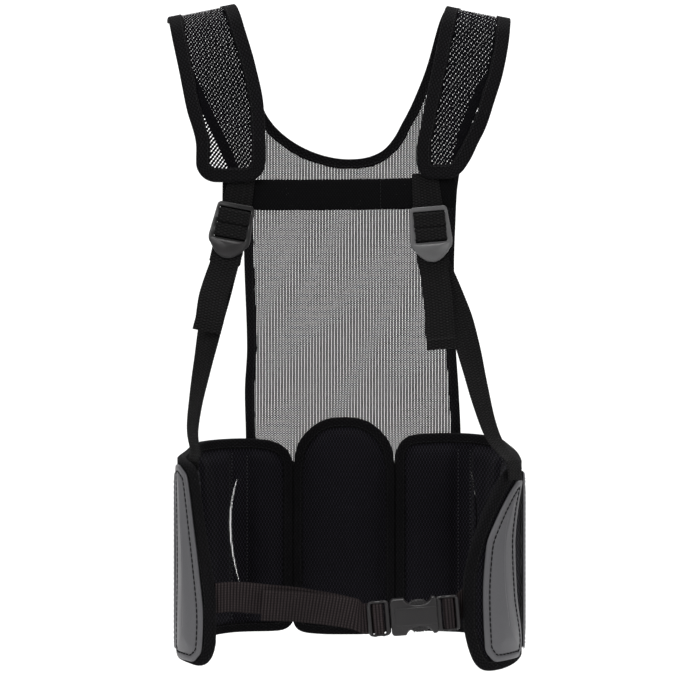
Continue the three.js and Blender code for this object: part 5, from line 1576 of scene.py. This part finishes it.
# A lock's outline below its window, and the rounding of its rims
LOCK_SHAPE = {"shoulder": 0.002, "low": 0.004, "neck": 0.006, "corner": 0.002, "tip_half": 0.008,
              "tip_steps": 13, "bevel": 0.0010, "window_corner": 0.0009, "window_steps": 4}
# Shares of a lock's long side that get a point
LOCK_SIDE = np.linspace(0.15, 0.95, 8)
# The domed cap on a lock's tongue
CAP = {"out": 0.0012, "below": 0.0008, "in": 0.0006, "tip": 0.001, "step": 0.0012, "round": 0.002,
       "sunk": 0.0003, "height": 0.0026, "rings": 9, "spread": 0.75}
# Skins of each lock's frame and tongue: the left frame takes a darker copy of the plastic as painted shade,
# and the whole right lock a pale copy as painted reflection
LOCK_SKINS = {"left": (SHADED_PLASTIC, PLASTIC), "right": (PLASTIC_WITH_REFLECTION, PLASTIC_WITH_REFLECTION)}
FRAME = {"bevel": 0.0016, "short": 0.0006, "corner": 0.004, "slot_corner": 0.0012, "slot_steps": 4,
         "overlap": 0.002}
BODY_EDGE = {"corner": 0.003, "bevel": 0.0012, "front_bevel": 0.0018, "step": 0.0006}
PANEL = {"low": BODY_LOW + 0.0035, "high": BODY_HIGH - 0.0012, "half": 0.0072, "lift": 0.0007,
         "corner": 0.0016, "bevel_share": 0.8}
SCOOP = {"x": BODY_LOW + 0.023, "radius_x": 0.0115, "radius_z": 0.0082, "out": 0.002}
BUTTON = {"radius_x": 0.0085, "radius_z": 0.0046, "z": 0.00865, "thick": 0.0055, "bevel": 0.0012, "steps": 40}
# Finger ribs on each button
FINGER = {"places": (-2, -1, 0, 1, 2), "pitch": 0.0024, "half": 0.0005, "z": 0.011, "reach": 0.0022,
          "corner": 0.0004, "corner_steps": 3, "proud": 0.0012, "bevel": 0.0003}


def arc_points(centre, radius, start, end, steps):
    turn = np.radians(np.linspace(start, end, steps))
    return [(centre[0] + radius * math.cos(a), centre[1] + radius * math.sin(a)) for a in turn]


def rounded_box(low_x, high_x, low_z, high_z, radius, steps=7):
    """A box outline with round corners, anticlockwise."""
    corners = [((high_x - radius, low_z + radius), -90), ((high_x - radius, high_z - radius), 0),
               ((low_x + radius, high_z - radius), 90), ((low_x + radius, low_z + radius), 180)]
    points = []
    for centre, start in corners:
        points += arc_points(centre, radius, start, start + 90, steps)
    return np.array(points)


def moulded(name, outline, holes, thick, bevel, material, matrix, centre=0.0, front_bevel=None):
    """A moulded slab with holes and rounded rims: outlines lie in X and Z, and the thickness in Y."""
    front_bevel = front_bevel or bevel
    turn = np.linspace(0, np.pi / 2, BEVEL_STEPS)
    levels = [(front_bevel * (1 - math.sin(a)), -thick / 2 + front_bevel * (1 - math.cos(a))) for a in turn]
    levels += [(bevel * (1 - math.cos(a)), thick / 2 - bevel * (1 - math.sin(a))) for a in turn]
    points, faces, caps = [], [], {0: [], len(levels) - 1: []}
    for order, loop in enumerate([outline] + list(holes)):
        loop = np.array(loop)
        area = np.dot(loop[:, 0], np.roll(loop[:, 1], -1)) - np.dot(loop[:, 1], np.roll(loop[:, 0], -1))
        loop = loop[::-1] if area < 0 else loop
        inward = path_normals(loop, True) * (1 if order == 0 else -1)
        start = len(points)
        count = len(loop)
        for level, (inset, depth) in enumerate(levels):
            flat = loop + inward * inset
            if level in caps:
                caps[level].append((len(points), flat))
            points += [(x, centre + depth, z) for x, z in flat]
        faces += [tuple(face) for face in grid_faces(len(levels), count, start, wrap=True)]
    for level, loops in caps.items():
        index = [start + k for start, flat in loops for k in range(len(flat))]
        flats = [[Vector((x, z, 0)) for x, z in flat] for start, flat in loops]
        faces += [tuple(index[k] for k in face) for face in tessellate_polygon(flats)]
    piece = piece_from(name, points, faces, material)
    piece.data.transform(matrix)
    tidy_normals(piece)
    return piece


def tidy_normals(piece):
    """Point faces out and keep edges crisp where they turn sharply."""
    shape = bmesh.new()
    shape.from_mesh(piece.data)
    bmesh.ops.remove_doubles(shape, verts=shape.verts, dist=1e-6)
    bmesh.ops.recalc_face_normals(shape, faces=shape.faces)
    shape.to_mesh(piece.data)
    shape.free()
    piece.data.set_sharp_from_angle(angle=math.radians(CRISP_ANGLE))


def dome(name, outline, base, height, material, matrix):
    """A round cap that rises in front of an outline towards its middle."""
    outline = np.array(outline)
    centre = outline.mean(0)
    points = []
    for part in np.linspace(0, 1, CAP["rings"]) ** CAP["spread"]:
        flat = outline * (1 - part) + centre * part
        points += [(x, base - height * (1 - (1 - part) ** 2), z) for x, z in flat]
    faces = [tuple(face) for face in grid_faces(CAP["rings"], len(outline), wrap=True)]
    faces.append(tuple(range(len(outline))))
    piece = piece_from(name, points, faces, material)
    piece.data.transform(matrix)
    tidy_normals(piece)
    return piece


def mirrored(left):
    """A closed outline from its left half, whose last point is on the middle line."""
    return [tuple(point) for point in left] + [(-x, z) for x, z in left[:-1]][::-1]


def lock_outline():
    """Outline of a ladder lock with a round tongue, from its top edge down."""
    top, mid, tongue = LOCK["top_half"], LOCK["mid_half"], LOCK["tongue_half"]
    shoulder = LOCK_TONGUE + LOCK_SHAPE["shoulder"]
    low = LOCK_TONGUE - LOCK_SHAPE["low"]
    neck = LOCK_TONGUE - LOCK_SHAPE["neck"]
    left = [(-top + LOCK_SHAPE["corner"], 0), (-top, -LOCK_SHAPE["corner"])]
    left += [(-mid + (mid - top) * (1 - share), shoulder * share) for share in LOCK_SIDE]
    left += curve_points((-mid, shoulder), (-mid, low), (-tongue, neck))[:-1]
    left += curve_points((-tongue, neck), (-LOCK_SHAPE["tip_half"], LOCK_TIP), (0, LOCK_TIP),
                         LOCK_SHAPE["tip_steps"])
    return np.array(mirrored(left))


def lock_tongue():
    """Outline of the cap on a lock's tongue, just inside the lock's own."""
    tip = LOCK_TIP + CAP["tip"]
    left = [(-LOCK["tongue_half"] - CAP["out"], LOCK_TONGUE - CAP["below"])]
    left += curve_points((-LOCK["tongue_half"] + CAP["in"], LOCK_TONGUE - LOCK_SHAPE["neck"]),
                         (-LOCK_SHAPE["tip_half"], tip), (0, tip), LOCK_SHAPE["tip_steps"])
    return rounded_loop(mirrored(left), CAP["step"], CAP["round"])


def build_locks():
    spans = [(LOCK_SLOT_TOP, LOCK_TAB_BAR), (LOCK_MID_SLOT, LOCK_WEB_BAR), (LOCK_LOW_SLOT, LOCK_TONGUE)]
    holes = [rounded_box(-LOCK["window"], LOCK["window"], low, high, LOCK_SHAPE["window_corner"],
                         LOCK_SHAPE["window_steps"]) for high, low in spans]
    for side, (frame_skin, tongue_skin) in LOCK_SKINS.items():
        matrix = lock_matrix(side)
        body = moulded(f"lock_frame_{side}", lock_outline(), holes, LOCK["thick"], LOCK_SHAPE["bevel"],
                       frame_skin, matrix)
        base = -LOCK["thick"] / 2 + CAP["sunk"]
        tongue = dome("tongue", lock_tongue(), base, CAP["height"], tongue_skin, matrix)
        fit(joined(f"lock_{side}", [body, tongue]), "plastic", f"ladder_lock_{side}")


def strap_frame(name, outer_end, inner_end, slots):
    """The end of a buckle half that the webbing loops through."""
    low, high = sorted((outer_end, inner_end))
    half = BUCKLE["height"] / 2 - FRAME["short"]
    outline = rounded_box(low, high, -half, half, FRAME["corner"])
    opening = WEB_WIDTH / 2 + CAD_GAP
    holes = [rounded_box(start, end, -opening, opening, FRAME["slot_corner"], FRAME["slot_steps"])
             for start, end in slots]
    return moulded(name, outline, holes, BUCKLE["frame_thick"], FRAME["bevel"], PLASTIC, BUCKLE_MATRIX)


def socket_outline():
    """The socket's body: a box whose top and bottom are scooped for finger and thumb."""
    half = BUCKLE["height"] / 2
    box = rounded_box(BODY_LOW, BODY_HIGH, -half, half, BODY_EDGE["corner"])
    loop = resampled(box, BODY_EDGE["step"], closed=True)[0]
    along = np.clip((loop[:, 0] - SCOOP["x"]) / SCOOP["radius_x"], -1, 1)
    limit = half + SCOOP["out"] - SCOOP["radius_z"] * np.sqrt(1 - along ** 2)
    loop[:, 1] = np.clip(loop[:, 1], -limit, limit)
    return loop


def button_parts(way):
    """The upper or lower button of the prong, with its finger ribs."""
    turn = np.linspace(0, 2 * np.pi, BUTTON["steps"], endpoint=False)
    oval = np.stack([SCOOP["x"] + BUTTON["radius_x"] * np.cos(turn),
                     way * BUTTON["z"] + BUTTON["radius_z"] * np.sin(turn)], -1)
    parts = [moulded("button", oval, [], BUTTON["thick"], BUTTON["bevel"], PLASTIC, BUCKLE_MATRIX)]
    low, high = way * FINGER["z"] - FINGER["reach"], way * FINGER["z"] + FINGER["reach"]
    for place in FINGER["places"]:
        x = SCOOP["x"] + place * FINGER["pitch"]
        ridge = rounded_box(x - FINGER["half"], x + FINGER["half"], low, high, FINGER["corner"],
                            FINGER["corner_steps"])
        parts.append(moulded("ridge", ridge, [], BUTTON["thick"] + FINGER["proud"], FINGER["bevel"], PLASTIC,
                             BUCKLE_MATRIX))
    return parts


def build_buckle():
    body = moulded("socket_body", socket_outline(), [], BUCKLE["body_thick"], BODY_EDGE["bevel"], PLASTIC,
                   BUCKLE_MATRIX, front_bevel=BODY_EDGE["front_bevel"])
    face = rounded_box(PANEL["low"], PANEL["high"], -PANEL["half"], PANEL["half"], PANEL["corner"])
    lift = PANEL["lift"]
    panel = moulded("socket_panel", face, [], 2 * lift, lift * PANEL["bevel_share"], PLASTIC,
                    BUCKLE_MATRIX, centre=-BUCKLE["body_thick"] / 2)
    frame_end = strap_frame("socket_frame", BUCKLE["half"], BODY_HIGH - FRAME["overlap"], SOCKET_SLOTS)
    fit(joined("buckle_socket_shell", [body, panel, frame_end]), "plastic", "buckle_socket")
    parts = [strap_frame("prong_frame", -BUCKLE["half"], BODY_LOW - CAD_GAP, PRONG_SLOTS)]
    parts += button_parts(-1) + button_parts(1)
    fit(joined("buckle_prong_shell", parts), "plastic", "buckle_prong")


build_nets()
build_tapes()
build_pads()
build_plates()
build_webbing()
build_locks()
build_buckle()


# Floor, light and camera

FLOOR = {"height": -0.66, "half": 3.0, "rise": 2.6, "bend": 0.8, "behind": 1.4, "bend_steps": 14}
BACKDROP = {"colour": (0.92, 0.92, 0.92, 1), "roughness": 0.9}
PART_MIDDLE = (0, 0, -0.3)
# Lights: name, place, target, size and power
LIGHTS = [
    ("key", (-1.2, -1.9, 1.0), PART_MIDDLE, 1.0, 20),
    ("fill", (1.5, -1.7, 0.3), PART_MIDDLE, 1.2, 9),
    ("backdrop_light", (0, 0.3, 1.9), (0, 1.9, -0.2), 1.6, 60),
]
WORLD_STRENGTH = 0.38


def build_stage():
    """A pale floor that curves up into a backdrop."""
    behind, bend = FLOOR["behind"], FLOOR["bend"]
    turn = np.radians(np.linspace(0, 90, FLOOR["bend_steps"]))
    profile = [(-FLOOR["half"], 0.0)]
    profile += [(behind + bend * math.sin(a), bend * (1 - math.cos(a))) for a in turn]
    profile.append((behind + bend, FLOOR["rise"]))
    points = [(side * FLOOR["half"], y, FLOOR["height"] + z) for side in (-1, 1) for y, z in profile]
    count = len(profile)
    faces = [(k, k + count, k + 1 + count, k + 1) for k in range(count - 1)]
    material = bpy.data.materials.new("pale backdrop")
    material.use_nodes = True
    body = material.node_tree.nodes["Principled BSDF"]
    body.inputs["Base Color"].default_value = BACKDROP["colour"]
    body.inputs["Roughness"].default_value = BACKDROP["roughness"]
    piece_from("backdrop", points, faces, material)


def soft_light(name, place, target, size, power):
    light = bpy.data.lights.new(name, "AREA")
    light.shape = "DISK"
    light.size = size
    light.energy = power
    lamp = bpy.data.objects.new(name, light)
    lamp.location = place
    lamp.rotation_euler = (Vector(target) - Vector(place)).to_track_quat("-Z", "Y").to_euler()
    bpy.context.scene.collection.objects.link(lamp)


def build_light():
    for light in LIGHTS:
        soft_light(*light)
    world = bpy.data.worlds.new("studio")
    world.use_nodes = True
    sky = world.node_tree.nodes["Background"].inputs
    sky["Color"].default_value = (1, 1, 1, 1)
    sky["Strength"].default_value = WORLD_STRENGTH
    bpy.context.scene.world = world
    bpy.context.scene.view_settings.view_transform = "Standard"


def build_camera():
    data = bpy.data.cameras.new("camera")
    data.sensor_width = SENSOR
    data.lens = FOCAL_PIXELS / PHOTO_SIDE * SENSOR
    camera = bpy.data.objects.new("camera", data)
    camera.location = CAMERA_PLACE
    camera.rotation_euler = (math.pi / 2, 0, 0)
    bpy.context.scene.collection.objects.link(camera)
    bpy.context.scene.camera = camera


build_stage()
build_light()
build_camera()
